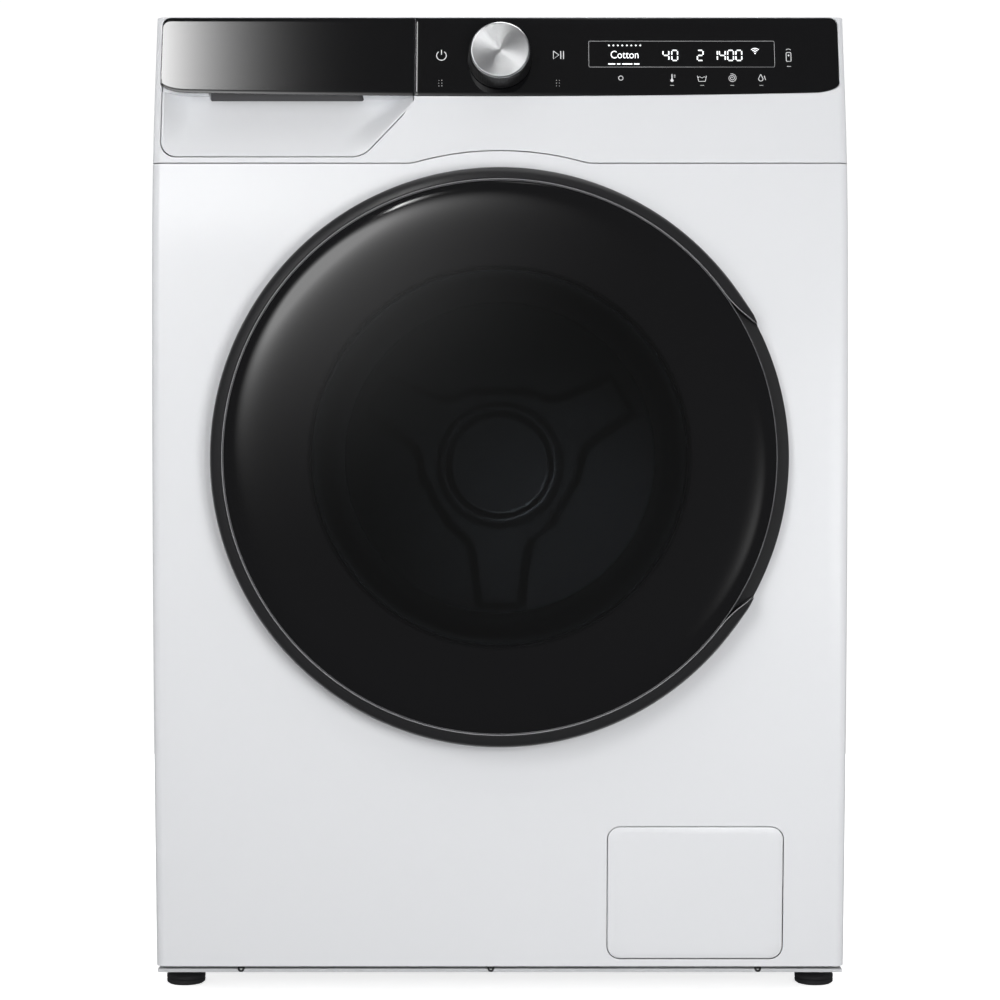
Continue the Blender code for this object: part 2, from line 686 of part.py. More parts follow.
def scoop_tool():
    """Cove that is flush at the scoop's lower edge and ends and deepest under the lip."""
    left, right = DRAWER_LEFT + 0.0017, DRAWER_RIGHT - 0.0007
    low = Z_SEAM + SCOOP_RISE
    knee = DRAWER_RIGHT - 0.0443
    slant = 1.073
    columns, rows = 18, 9

    def depth(x, z, t):
        from_left = x - left - 0.0015
        from_slant = ((z - low) - (x - knee) * slant) / math.hypot(1, slant) - 0.0015
        side = max(0.0, min(1.0, min(from_left, from_slant) / SCOOP_SIDE))
        return SCOOP_DEPTH * math.sin(math.pi / 2 * t) * math.sin(math.pi / 2 * side) - 0.0004

    bm = bmesh.new()
    front, rear = [], []
    for j in range(rows + 1):
        t = j / rows
        front.append([])
        rear.append([])
        for i in range(columns + 1):
            x = left + (right - left) * i / columns
            z = low + 0.0018 + (strip_edge(x) + 0.003 - low - 0.0018) * t
            front[j].append(bm.verts.new((x, front_y(z) - 0.006, z)))
            rear[j].append(bm.verts.new((x, front_y(z) + depth(x, z, t), z)))
    for j in range(rows):
        for i in range(columns):
            for grid in (front, rear):
                a, b, c, d = grid[j][i], grid[j][i + 1], grid[j + 1][i + 1], grid[j + 1][i]
                bm.faces.new((a, b, c))
                bm.faces.new((a, c, d))
    for j in range(rows):
        for i in (0, columns):
            bm.faces.new((front[j][i], front[j + 1][i], rear[j + 1][i], rear[j][i]))
    for i in range(columns):
        for j in (0, rows):
            bm.faces.new((front[j][i], front[j][i + 1], rear[j][i + 1], rear[j][i]))
    return solid("tool_scoop", bm, WHITE)


def make_drawer():
    """Drawer front with its scooped grip and black lip, and the tray behind it."""
    back = drawer_back()
    body = bent_block("drawer_front", WHITE_PLASTIC, (DRAWER_LEFT, DRAWER_RIGHT), (Z_SEAM, HEIGHT), 0.0, back=back)
    keep(body, prism("tool_drawer_outline", WHITE, drawer_outline(), Y_APEX - 0.05, Y_RETURN + 0.01))
    room = bent_block("tool_lip_room", WHITE, (DRAWER_LEFT - 0.01, DRAWER_RIGHT + 0.01), (STRIP_Z - 0.02, HEIGHT + 0.01), -0.01, STRIP_THICK + FIT)
    wide = strip_outline(DRAWER_LEFT, DRAWER_RIGHT + 0.005, True, False, FIT)
    keep(room, prism("tool_lip_outline", WHITE, wide, Y_APEX - 0.05, Y_RETURN))
    cut(body, room, scoop_tool())
    pocket = bent_block(
        "tool_finger_pocket",
        WHITE,
        (DRAWER_LEFT + 0.041, DRAWER_RIGHT - 0.0447),
        (STRIP_Z - 0.006, STRIP_Z + 0.025),
        0.001,
        SCOOP_DEPTH - 0.002,
    )
    cut(body, pocket)

    lip = bent_block("drawer_lip", BLACK_GLOSS, (DRAWER_LEFT - 0.01, DRAWER_RIGHT + 0.01), (STRIP_Z - 0.01, HEIGHT), 0.0, STRIP_THICK)
    outline = strip_outline(DRAWER_LEFT, DRAWER_RIGHT, True, False)
    keep(lip, prism("tool_lip_shape", WHITE, outline, Y_APEX - 0.05, Y_RETURN))

    floor = housing_floor()
    x = (DRAWER_LEFT + 0.0025 + WALL + RUNNER_PLAY, DRAWER_RIGHT - 0.0012 - WALL - RUNNER_PLAY)
    y = (back + FIT, back + FIT + DRAWER_REACH)
    z = (floor + WALL + RUNNER_PLAY, HEIGHT - 0.055)
    tray = cut(block("drawer_tray", WHITE_PLASTIC, x, y, z), slant_tool(0.0025))
    for low, high in tray_pockets():
        deep = (y[0] + WALL, y[1] - WALL)
        room = block("tool_compartment", WHITE, (low, high), deep, (z[0] + WALL, z[1] + 0.01))
        cut(tray, cut(room, slant_tool(0.0025 + WALL)))
    carry(pivot("drawer_slide", (sum(x) / 2, back, floor)), body, lip, tray)

    hx = (DRAWER_LEFT + 0.0025, DRAWER_RIGHT - 0.0012)
    hy = (back + 0.0015, y[1] + 0.020)
    hz = (floor, HEIGHT - TOP_THICK - 0.0213)
    housing = block("dispenser_housing", TUB_PLASTIC, hx, hy, hz)
    inside = block("tool_housing_room", WHITE, (hx[0] + WALL, hx[1] - WALL), (hy[0] - 0.01, hy[1] - WALL), (hz[0] + WALL, hz[1] - WALL))
    return cut(housing, inside)


def slant_tool(offset):
    """Wedge below and right of the drawer's slanted side, moved in by an offset, for the tray's clearance."""
    slope = 1.073
    steep = math.hypot(1, slope)
    x = DRAWER_RIGHT - 0.0443 - offset * slope / steep
    z = Z_SEAM + SCOOP_RISE + offset / steep
    corners = [(x - 0.03, z - 0.03 * slope), (x + 0.09, z - 0.03 * slope), (x + 0.09, z + 0.09 * slope)]
    return prism("tool_slant", WHITE, corners, Y_APEX, Y_REAR)


def tray_pockets():
    """(low, high) across each compartment: main wash, prewash and softener."""
    low = DRAWER_LEFT + 0.0025 + WALL + RUNNER_PLAY + WALL
    high = DRAWER_RIGHT - 0.0012 - WALL - RUNNER_PLAY - WALL
    room = high - low - 2 * WALL
    first, second = low + room * 0.44, low + room * 0.44 + WALL + room * 0.30
    return [(low, first), (first + WALL, second), (second + WALL, high)]


# ---------------------------------------------------------------------------- door
def make_door():
    """Black rim, domed front glass, carrier frame and glass bowl, on a hinge hidden in the rim."""
    place = along_y(0, DOOR_Z)
    glass_r = DOOR_RADIUS - GLASS_INSET
    frame_r = DOOR_RADIUS - FRAME_INSET
    seat = Y_DOOR + 0.0075  # back edge of the front glass
    window = [
        (0, Y_DOOR),
        (0.34 * glass_r, Y_DOOR + 0.0003),
        (0.60 * glass_r, Y_DOOR + 0.0009),
        (0.79 * glass_r, Y_DOOR + 0.0017),
        (0.905 * glass_r, Y_DOOR + 0.0027),
        (glass_r - 0.010, Y_DOOR + 0.0037),
        (glass_r - 0.0035, Y_DOOR + 0.0050),
        (glass_r - 0.0005, Y_DOOR + 0.0066),
        (glass_r, seat),
        (frame_r, seat),
        (0.79 * glass_r, Y_DOOR + 0.0060),
        (0, Y_DOOR + 0.0044),
    ]
    door_window = turned("door_window", DARK_GLASS, window, place, RIM_SIDES)

    ledge = seat + FIT
    ring = [
        (frame_r + FIT, ledge),
        (glass_r + FIT, ledge),
        (glass_r + 0.0010, Y_DOOR + 0.0062),
        (glass_r + 0.0025, Y_DOOR + 0.0048),
        (glass_r + 0.0070, Y_DOOR + 0.0052),
        (glass_r + 0.0102, Y_DOOR + 0.0078),
        (DOOR_RADIUS, Y_DOOR + 0.0120),
        (DOOR_RADIUS, Y_APEX + 0.021),
        (DOOR_RADIUS - RING_WALL, Y_APEX + 0.021),
        (DOOR_RADIUS - RING_WALL, ledge + 0.0075),
        (frame_r + FIT, ledge + 0.0075),
    ]
    door_ring = turned("door_ring", BLACK_GLOSS, ring, place, RIM_SIDES)
    behind = bent_block(
        "tool_behind_door",
        WHITE,
        (-DOOR_RADIUS - 0.02, DOOR_RADIUS + 0.02),
        (DOOR_Z - DOOR_RADIUS - 0.02, DOOR_Z + DOOR_RADIUS + 0.02),
        -DOOR_GAP,
        0.06,
    )
    cut(door_ring, behind)
    # the finger recess: the rim is scooped out at the right, down to a thin plate at the back
    plate_y = Y_APEX - 0.0095
    plate = grip_sector(frame_r + 0.004, DOOR_RADIUS - 0.0005, GRIP_ANGLE + 0.03, plate_y, plate_y + 0.004)
    join(door_ring, plate)
    cut(door_ring, grip_sector(frame_r + 0.0045, DOOR_RADIUS + 0.01, GRIP_ANGLE, Y_DOOR - 0.01, plate_y - 0.001))
    notch = block(
        "tool_hinge_notch",
        WHITE,
        (-DOOR_RADIUS - 0.005, HINGE_X),
        (HINGE_Y - 0.0055, Y_RETURN),
        (DOOR_Z - EAR_Z - 0.008, DOOR_Z + EAR_Z + 0.008),
    )
    cut(door_ring, notch)

    bowl_r = BOWL_RADIUS
    frame_back = Y_APEX - 0.007
    step = frame_back - 0.009
    frame = [
        (bowl_r, seat + FIT),
        (frame_r, seat + FIT),
        (frame_r, frame_back),
        (bowl_r + 0.0125, frame_back),
        (bowl_r + 0.0125, step),
        (bowl_r, step),
    ]
    door_frame = turned("door_frame", BLACK_SATIN, frame, place, RIM_SIDES)

    flange = step + FIT
    bowl = [
        (0, Y_APEX + 0.0595),
        (0.7875 * bowl_r, Y_APEX + 0.0565),
        (0.8625 * bowl_r, Y_APEX + 0.0470),
        (bowl_r - 0.0148, Y_APEX + 0.0270),
        (bowl_r - 0.0085, Y_APEX + 0.0080),
        (bowl_r, flange + 0.0032),
        (bowl_r + 0.0119, flange + 0.0032),
        (bowl_r + 0.0119, flange),
        (bowl_r - 0.0050, flange),
        (bowl_r - 0.0120, Y_APEX + 0.0075),
        (bowl_r - 0.0187, Y_APEX + 0.0280),
        (0.8625 * bowl_r - 0.004, Y_APEX + 0.0440),
        (0.7875 * bowl_r - 0.004, Y_APEX + 0.0525),
        (0, Y_APEX + 0.0555),
    ]
    door_bowl = turned("door_bowl", CLEAR_GLASS, bowl, place)
    hinge_leaf, hinge_pin = make_hinge(frame_back, frame_r)
    hook = make_latch_hook(frame_back)
    axis = pivot("door_axis", (HINGE_X, HINGE_Y, DOOR_Z))
    carry(axis, door_window, door_ring, door_frame, door_bowl, hinge_leaf, hinge_pin, hook)


def grip_sector(inner, outer, angle, low, high):
    """Ring segment at the door's right side."""
    centre = (0, DOOR_Z)
    outline = arc(centre, outer, -angle, angle, 16) + arc(centre, inner, angle, -angle, 16)
    return prism("tool_grip_sector", BLACK_GLOSS, outline, low, high)


def make_hinge(frame_back, frame_r):
    """Leaf on the door's carrier, turning on a pin between the two ears of the case's bracket."""
    axis = (HINGE_X, HINGE_Y)
    leaf_y = (frame_back + FIT, frame_back + FIT + 0.003)
    knuckle = arc(axis, KNUCKLE, math.radians(70), math.radians(300), 12)
    neck = -(frame_r + 0.001)
    outline = knuckle + [(neck, leaf_y[0]), (neck + 0.040, leaf_y[0]), (neck + 0.040, leaf_y[1]), (neck, leaf_y[1])]
    half = EAR_Z - 0.0030
    leaf = prism("hinge_leaf", GALVANISED, outline, DOOR_Z - half, DOOR_Z + half, "Z")
    bore = chord_radius(PIN_RADIUS + PIVOT_PLAY, 20)
    hole = [(0, DOOR_Z - 0.1), (bore, DOOR_Z - 0.1), (bore, DOOR_Z + 0.1), (0, DOOR_Z + 0.1)]
    cut(leaf, turned("tool_leaf_bore", WHITE, hole, along_z(*axis), 20))
    reach = EAR_Z + 0.0040
    shaft = [(0, DOOR_Z - reach), (PIN_RADIUS, DOOR_Z - reach), (PIN_RADIUS, DOOR_Z + reach), (0, DOOR_Z + reach)]
    pin = turned("hinge_pin", STAINLESS, shaft, along_z(*axis), 16)

    inner_y = front_y(DOOR_Z - 0.045) + SHEET + FIT
    x = (HINGE_X + 0.0015, -(APERTURE + 0.0085))
    bracket = block("hinge_bracket", GALVANISED, x, (inner_y, inner_y + 0.003), (DOOR_Z - 0.045, DOOR_Z + 0.045))
    for side in (-1, 1):
        z = DOOR_Z + side * EAR_Z
        around = arc(axis, KNUCKLE, math.radians(140), math.radians(310), 10)
        ear = around + [(HINGE_X + 0.019, inner_y + 0.0015), (HINGE_X + 0.007, inner_y + 0.0015)]
        join(bracket, prism("tool_ear", WHITE, ear, z - 0.0015, z + 0.0015, "Z"))
    cut(bracket, turned("tool_ear_bore", WHITE, hole, along_z(*axis), 20))
    return leaf, pin


def make_latch_hook(frame_back):
    """Strike on the door: a plate with a window, into which the lock's bolt goes."""
    x = latch_x()
    y = (frame_back + FIT, Y_APEX + 0.018)
    hook = block("latch_hook", STAINLESS, (x - 0.002, x + 0.002), y, (DOOR_Z - 0.014, DOOR_Z + 0.014))
    window = block("tool_strike", WHITE, (x - 0.01, x + 0.01), (y[1] - 0.012, y[1] - 0.005), (DOOR_Z - 0.006, DOOR_Z + 0.006))
    cut(hook, window)
    inner_y = front_y(DOOR_Z - 0.035) + SHEET + FIT
    lock = block("door_lock", PALE_GREY, (x - 0.016, x + 0.028), (inner_y, inner_y + 0.0175), (DOOR_Z - 0.035, DOOR_Z + 0.035))
    slot = block("tool_lock_slot", WHITE, (x - 0.006, x + 0.008), (inner_y - 0.01, inner_y + 0.0168), (DOOR_Z - 0.017, DOOR_Z + 0.017))
    cut(lock, slot)
    return hook


# ---------------------------------------------------------------------------- tub and drum
def spring_spot():
    """(x, y) of the right-hand spring."""
    return TUB_RADIUS, Y_TUB + 0.321


def lug_height():
    """Top of the lugs that the springs pull on."""
    return DOOR_Z + 0.1467


def damper_spot():
    """(x, y) of the right-hand damper."""
    return DAMPER_X, Y_TUB + 0.246


def make_tub():
    """Two plastic shells bolted together, with bearings in the rear hub and a concrete ring in front."""
    place = along_y(0, DOOR_Z)
    split = Y_TUB + TUB_SPLIT
    inner = TUB_RADIUS - TUB_WALL
    front = [
        (NECK_RADIUS, Y_TUB - 0.008),
        (NECK_RADIUS + 0.004, Y_TUB - 0.008),
        (NECK_RADIUS + 0.004, Y_TUB),
        (TUB_RADIUS - 0.012, Y_TUB),
        (TUB_RADIUS, Y_TUB + 0.010),
        (TUB_RADIUS, split - 0.010),
        (TUB_FLANGE, split - 0.0083),
        (TUB_FLANGE, split - FIT),
        (inner, split - FIT),
        (inner, Y_TUB + 0.012),
        (inner - 0.010, Y_TUB + 0.005),
        (NECK_RADIUS, Y_TUB + 0.005),
    ]
    tub_front = turned("tub_front", TUB_PLASTIC, front, place)
    back = Y_TUB_BACK
    hub = back + 0.026
    rear = [
        (TUB_FLANGE, split),
        (TUB_FLANGE, split + 0.008),
        (TUB_RADIUS, split + 0.0097),
        (TUB_RADIUS, back - 0.014),
        (TUB_RADIUS - 0.012, back),
        (0.060, back),
        (0.055, hub),
        (0.031 + FIT, hub),
        (0.031 + FIT, back + 0.008),
        (0.028, back + 0.008),
        (0.028, back - 0.001),
        (0.036 + FIT, back - 0.001),
        (0.036 + FIT, back - 0.021),
        (0.055, back - 0.021),
        (0.058, back - 0.005),
        (inner - 0.009, back - 0.005),
        (inner, back - 0.017),
        (inner, split),
    ]
    tub_rear = turned("tub_rear", TUB_PLASTIC, rear, place)
    middle = TUB_RADIUS - 0.45 * TUB_WALL  # inside the tub's wall
    for side in (-1, 1):
        x, y = spring_spot()
        top = lug_height()
        low = top - 0.0117
        near = math.sqrt(middle**2 - (low - DOOR_Z) ** 2)
        span = sorted((side * near, side * (x + 0.013)))
        join(tub_rear, block("tool_spring_lug", WHITE, span, (y - 0.015, y + 0.015), (low, top)))
        x, y = damper_spot()
        wide = (x - 0.015, x + 0.015)
        top = DOOR_Z - math.sqrt(middle**2 - wide[0] ** 2)
        span = sorted((side * wide[0], side * wide[1]))
        join(tub_rear, block("tool_damper_lug", WHITE, span, (y - 0.015, y + 0.015), (damper_top(), top)))
    top = DOOR_Z - math.sqrt(middle**2 - 0.040**2)
    under = (MOTOR_Z + MOTOR_RADIUS + 0.0005, top)
    join(tub_rear, block("tool_motor_lug", WHITE, (-0.040, 0.040), (back - 0.125, back - 0.045), under))

    weight = [
        (NECK_RADIUS + 0.015, Y_TUB - FIT),
        (NECK_RADIUS + 0.015, Y_TUB - 0.0215),
        (NECK_RADIUS + 0.018, Y_TUB - 0.0225),
        (TUB_RADIUS - 0.015, Y_TUB - 0.0225),
        (TUB_RADIUS - 0.012, Y_TUB - 0.0195),
        (TUB_RADIUS - 0.012, Y_TUB - FIT),
    ]
    counterweight = turned("counterweight_front", CONCRETE, weight, place)
    bore = chord_radius(AXLE_RADIUS + PIVOT_PLAY, 24)
    front_race = [(bore, back - 0.020), (0.036, back - 0.020), (0.036, back - 0.003), (bore, back - 0.003)]
    rear_race = [(bore, back + 0.0083), (0.031, back + 0.0083), (0.031, back + 0.0243), (bore, back + 0.0243)]
    bearing_front = turned("bearing_front", STAINLESS, front_race, place, 24)
    bearing_rear = turned("bearing_rear", STAINLESS, rear_race, place, 24)
    return [tub_front, tub_rear, counterweight, bearing_front, bearing_rear]


def damper_top():
    """Underside of the tub's damper lugs."""
    return DOOR_Z - 0.229


def make_gasket():
    """Rubber bellows from the aperture's collar to the tub's neck, with a lip round the door's bowl."""
    rim, neck = APERTURE + 0.002, NECK_RADIUS + 0.004
    start, end = Y_APEX + 0.021 + FIT, Y_TUB - 0.008 - FIT
    lip = BOWL_RADIUS - 0.012
    section = [
        (rim + 0.0035, start),
        (rim - 0.0055, start),
        (lip, start + 0.0022),
        (lip + 0.0002, start + 0.0057),
        (rim - 0.0085, start + 0.0049),
        (rim - 0.0065, end - 0.0037),
        (rim - 0.0005, end),
        (neck + FIT, end),
        (neck + FIT, end + 0.0058),
        (neck + 0.0040, end + 0.0058),
        (neck + 0.0040, end - 0.0037),
        (rim - 0.0025, end - 0.0047),
        (rim - 0.0025, start + 0.0052),
        (rim + 0.0035, start + 0.0052),
    ]
    return turned("door_gasket", GREY_RUBBER, section, along_y(0, DOOR_Z))


def make_drum():
    """Stainless drum with its pressed back, three lifters, the cast spider with the axle, and the pulley."""
    place = along_y(0, DOOR_Z)
    mouth = Y_TUB + 0.0155
    back = Y_TUB_BACK - 0.043
    r, t = DRUM_RADIUS, DRUM_SHEET
    shell = [
        (DRUM_MOUTH, mouth),
        (DRUM_MOUTH, mouth - 0.0015),
        (DRUM_MOUTH + 0.042, mouth - 0.0005),
        (r - 0.0105, mouth + 0.0045),
        (r, mouth + 0.0150),
        (r, back),
        (r - t, back),
        (r - t, mouth + 0.0158),
        (r - 0.0113, mouth + 0.0060),
        (DRUM_MOUTH + 0.0415, mouth + 0.0010),
    ]
    drum_shell = turned("drum_shell", STAINLESS, shell, place)
    plate = (back - 0.0065, back - 0.0020)
    rim = r - t - FIT
    disc = [(0, plate[0]), (rim, plate[0]), (rim, plate[1]), (0, plate[1])]
    drum_back = turned("drum_back", STAINLESS, disc, place)

    hub = plate[1] + FIT
    axle_end = Y_TUB_BACK + 0.0545
    core = [(0, hub), (0.048, hub), (0.048, hub + 0.012), (0.032, hub + 0.0205), (AXLE_RADIUS, hub + 0.0205), (AXLE_RADIUS, axle_end), (0, axle_end)]
    spider = turned("drum_spider", CAST, core, place, 24)
    for angle in (30, 150, 270):
        turn = Matrix.Translation((0, 0, DOOR_Z)) @ Matrix.Rotation(-math.radians(angle), 4, "Y")
        bm = bmesh.new()
        bmesh.ops.create_cube(bm, size=1.0, matrix=Matrix.LocRotScale((0.130, hub + 0.0080, 0), None, (0.196, 0.0150, 0.030)))
        bmesh.ops.transform(bm, matrix=turn, verts=bm.verts[:])
        join(spider, solid("tool_spider_arm", bm, CAST))

    lifters = []
    for number, angle in enumerate((90, 210, 330), 1):
        lifters.append(make_lifter(f"lifter_{number}", math.radians(angle), mouth + 0.030, back - 0.025))

    wheel_y = Y_TUB_BACK + 0.030
    bore = chord_radius(AXLE_RADIUS + PIVOT_PLAY, ROUND_SIDES)
    wheel = [
        (bore, wheel_y),
        (0.032, wheel_y),
        (0.032, wheel_y + 0.010),
        (PULLEY_RADIUS - 0.012, wheel_y + 0.010),
        (PULLEY_RADIUS - 0.012, wheel_y + 0.004),
        (PULLEY_RADIUS, wheel_y + 0.004),
        (PULLEY_RADIUS, wheel_y + 0.022),
        (PULLEY_RADIUS - 0.012, wheel_y + 0.022),
        (PULLEY_RADIUS - 0.012, wheel_y + 0.014),
        (0.032, wheel_y + 0.014),
        (0.032, wheel_y + 0.0225),
        (bore, wheel_y + 0.0225),
    ]
    pulley = turned("drum_pulley", CAST, wheel, place)
    return [drum_shell, drum_back, spider, *lifters, pulley]


def make_lifter(name, angle, start, end):
    """Paddle along the drum's wall, tapering towards the axis and towards its ends."""
    base = DRUM_RADIUS - DRUM_SHEET
    half = 0.030
    foot = math.sqrt((base * math.cos(math.pi / ROUND_SIDES) - FIT) ** 2 - half**2)
    crest = base - LIFTER_HEIGHT
    bm = bmesh.new()
    rings = []
    for y, ease in ((start, 0.020), (start + 0.022, 0.0), (end - 0.022, 0.0), (end, 0.020)):
        top = crest + ease
        spots = [(foot, -half), (foot, half), (top + 0.006, 0.012), (top, 0.006), (top, -0.006), (top + 0.006, -0.012)]
        rings.append([bm.verts.new((radial, y, across)) for radial, across in spots])
    for low, high in zip(rings, rings[1:]):
        for i in range(len(low)):
            j = (i + 1) % len(low)
            bm.faces.new((low[i], low[j], high[j], high[i]))
    bm.faces.new(rings[0])
    bm.faces.new(rings[-1])
    turn = Matrix.Translation((0, 0, DOOR_Z)) @ Matrix.Rotation(-angle, 4, "Y")
    bmesh.ops.transform(bm, matrix=turn, verts=bm.verts[:])
    return solid(name, bm, TUB_PLASTIC)


def make_drive():
    """Motor under the tub, its shaft with the small pulley, and the belt round both pulleys."""
    back = Y_TUB_BACK
    end = back - 0.020
    bore = chord_radius(0.0085 + PIVOT_PLAY, 24)
    body = [
        (0, end - 0.130),
        (MOTOR_RADIUS, end - 0.130),
        (MOTOR_RADIUS, end - 0.008),
        (0.030, end),
        (bore, end),
        (bore, end - 0.040),
        (0, end - 0.040),
    ]
    motor = turned("motor", CAST, body, along_y(0, MOTOR_Z), 32)
    wheel_y = back + 0.030
    shaft = [
        (0, end - 0.040 + FIT),
        (0.0085, end - 0.040 + FIT),
        (0.0085, wheel_y + 0.002),
        (0.0140, wheel_y + 0.002),
        (0.0140, wheel_y + 0.004),
        (MOTOR_PULLEY, wheel_y + 0.004),
        (MOTOR_PULLEY, wheel_y + 0.022),
        (0.0140, wheel_y + 0.022),
        (0.0140, wheel_y + 0.024),
        (0, wheel_y + 0.024),
    ]
    motor_pulley = turned("motor_pulley", STAINLESS, shaft, along_y(0, MOTOR_Z), 24)
    belt = make_belt(wheel_y + 0.0055, wheel_y + 0.0205)
    return motor, motor_pulley, belt


def make_belt(low, high):
    """Flat belt: arcs round both pulleys joined by straight runs."""
    big = chord_radius(PULLEY_RADIUS + FIT, 32)
    small = chord_radius(MOTOR_PULLEY + FIT, 24)
    lean = math.asin((big - small) / (DOOR_Z - MOTOR_Z))

    def loop(extra):
        upper = arc((0, DOOR_Z), big + extra, -lean, math.pi + lean, 32)
        lower = arc((0, MOTOR_Z), small + extra, math.pi + lean, 2 * math.pi - lean, 12)
        return upper + lower

    inside, outside = loop(0.0), loop(BELT_THICK)
    bm = bmesh.new()
    rings = []
    for outline, y in ((inside, low), (outside, low), (outside, high), (inside, high)):
        rings.append([bm.verts.new((x, y, z)) for x, z in outline])
    for k in range(4):
        first, second = rings[k], rings[(k + 1) % 4]
        for i in range(len(first)):
            j = (i + 1) % len(first)
            bm.faces.new((first[i], first[j], second[j], second[i]))
    return solid("drive_belt", bm, BLACK_RUBBER)


def make_spring(name, side):
    """Tension spring from the tub's lug up to the rear rail, its ends drawn in to hooks."""
    x, y = spring_spot()
    low, high = lug_height() + FIT, HEIGHT - TOP_THICK - 2 * FIT - 0.0207
    hook = 0.012
    steps = 9 * SPRING_TURNS
    path = [(0, 0, low), (0, 0, low + 0.005)]
    for k in range(steps + 1):
        a = 2 * math.pi * SPRING_TURNS * k / steps
        fade = min(1.0, k / 5, (steps - k) / 5)
        radius = SPRING_RADIUS * (0.15 + 0.85 * fade)
        z = low + hook + (high - low - 2 * hook) * k / steps
        path.append((radius * math.cos(a), radius * math.sin(a), z))
    path += [(0, 0, high - 0.005), (0, 0, high)]
    curve = bpy.data.curves.new(name, "CURVE")
    curve.dimensions = "3D"
    curve.bevel_depth = SPRING_WIRE
    curve.bevel_resolution = 0
    curve.use_fill_caps = True
    spline = curve.splines.new("POLY")
    spline.points.add(len(path) - 1)
    for point, spot in zip(spline.points, path):
        point.co = (side * x + spot[0], y + spot[1], spot[2], 1.0)
    curve.materials.append(GALVANISED)
    spring = bpy.data.objects.new(name, curve)
    bpy.context.scene.collection.objects.link(spring)
    return spring


def make_damper(side, word):
    """Friction damper: a cylinder standing on the base pan and a rod fixed under the tub."""
    x, y = damper_spot()
    low = BASE_Z + BASE_THICK + FIT
    top = low + 0.140
    bore = ROD_RADIUS + ROD_PLAY
    shell = [(0, low), (0.020, low), (0.020, low + 0.006), (0.016, low + 0.010), (0.016, top), (bore, top), (bore, low + 0.060), (0, low + 0.060)]
    turned(f"damper_cylinder_{word}", BLACK_SATIN, shell, along_z(side * x, y), 24)
    end = damper_top() - FIT
    rod = [(0, top - 0.055), (ROD_RADIUS, top - 0.055), (ROD_RADIUS, end - 0.008), (0.011, end - 0.008), (0.011, end), (0, end)]
    return turned(f"damper_rod_{word}", STAINLESS, rod, along_z(side * x, y), 24)


def make_washing_unit():
    """Everything that hangs on the springs."""
    unit = pivot("tub_mount", (0, Y_TUB_BACK - 0.2, DOOR_Z))
    carry(unit, *make_tub(), make_gasket())
    drum_axis = pivot("drum_axis", (0, Y_TUB_BACK, DOOR_Z), unit)
    carry(drum_axis, *make_drum())
    motor, motor_pulley, belt = make_drive()
    carry(unit, motor, belt)
    carry(pivot("motor_axis", (0, Y_TUB_BACK, MOTOR_Z), unit), motor_pulley)
    for side, word in ((-1, "left"), (1, "right")):
        make_spring(f"spring_{word}", side)
        carry(unit, make_damper(side, word))


# ---------------------------------------------------------------------------- pump and services
def make_flap():
    """Service flap that drops forward, and the recess behind it with the filter's cap."""
    x, z = (FLAP_LEFT, FLAP_RIGHT), (FLAP_Z, FLAP_TOP)
    flap = bent_block("filter_cover", WHITE, (x[0] - 0.01, x[1] + 0.01), (z[0] - 0.004, z[1] + 0.004), 0.0, FLAP_THICK)
    keep(flap, prism("tool_flap_outline", WHITE, rounded_rectangle(x, z, FLAP_CORNER), Y_APEX - 0.01, Y_RETURN))
    carry(pivot("filter_cover_axis", (FILTER_X, front_y(FLAP_Z) - 0.0002, FLAP_Z)), flap)

    floor = front_y(FLAP_Z) + 0.033
    surround = bent_block("filter_surround", WHITE_PLASTIC, (x[0] - 0.02, x[1] + 0.02), (z[0] - 0.010, z[1] + 0.010), SHEET + FIT, back=floor)
    outer = rounded_rectangle(x, z, FLAP_CORNER, 0.0060)
    keep(surround, prism("tool_surround_outline", WHITE, outer, Y_APEX - 0.02, Y_RETURN + 0.02))
    room = rounded_rectangle(x, z, FLAP_CORNER, 0.0025)
    cut(surround, prism("tool_surround_room", WHITE, room, Y_APEX - 0.02, floor - 0.003))
    mouth = arc((FILTER_X, FILTER_Z), PUMP_RADIUS - 0.006, 0, 2 * math.pi, 32)[:-1]
    cut(surround, prism("tool_filter_mouth", WHITE, mouth, floor - 0.02, floor + 0.02))

    place = along_y(FILTER_X, FILTER_Z)
    start = floor + FIT
    rim = PUMP_RADIUS - 0.006
    pump = [
        (0, start + 0.130),
        (0.026, start + 0.130),
        (0.026, start + 0.072),
        (PUMP_RADIUS, start + 0.072),
        (PUMP_RADIUS, start),
        (rim, start),
        (rim, start + 0.060),
        (0, start + 0.060),
    ]
    drain_pump = turned("drain_pump", PALE_GREY, pump, place, 32)
    low = BASE_Z + BASE_THICK + FIT
    stand = block("tool_pump_stand", WHITE, (FILTER_X - 0.022, FILTER_X + 0.022), (start + 0.030, start + 0.070), (low, FILTER_Z - PUMP_RADIUS + 0.004))
    join(drain_pump, stand)

    face = floor - 0.0075
    cap = [
        (0, face),
        (0.030, face),
        (rim - 0.0008, face + 0.0020),
        (rim - 0.0008, start + 0.030),
        (rim - 0.0060, start + 0.032),
        (0, start + 0.032),
    ]
    filter_cap = turned("filter_cap", BLUE_PLASTIC, cap, place, 32)
    wing = block("tool_cap_wing", WHITE, (FILTER_X - 0.004, FILTER_X + 0.004), (face - 0.013, face + 0.001), (FILTER_Z - 0.023, FILTER_Z + 0.023))
    join(filter_cap, wing)
    carry(pivot("filter_cap_axis", (FILTER_X, floor, FILTER_Z)), filter_cap)


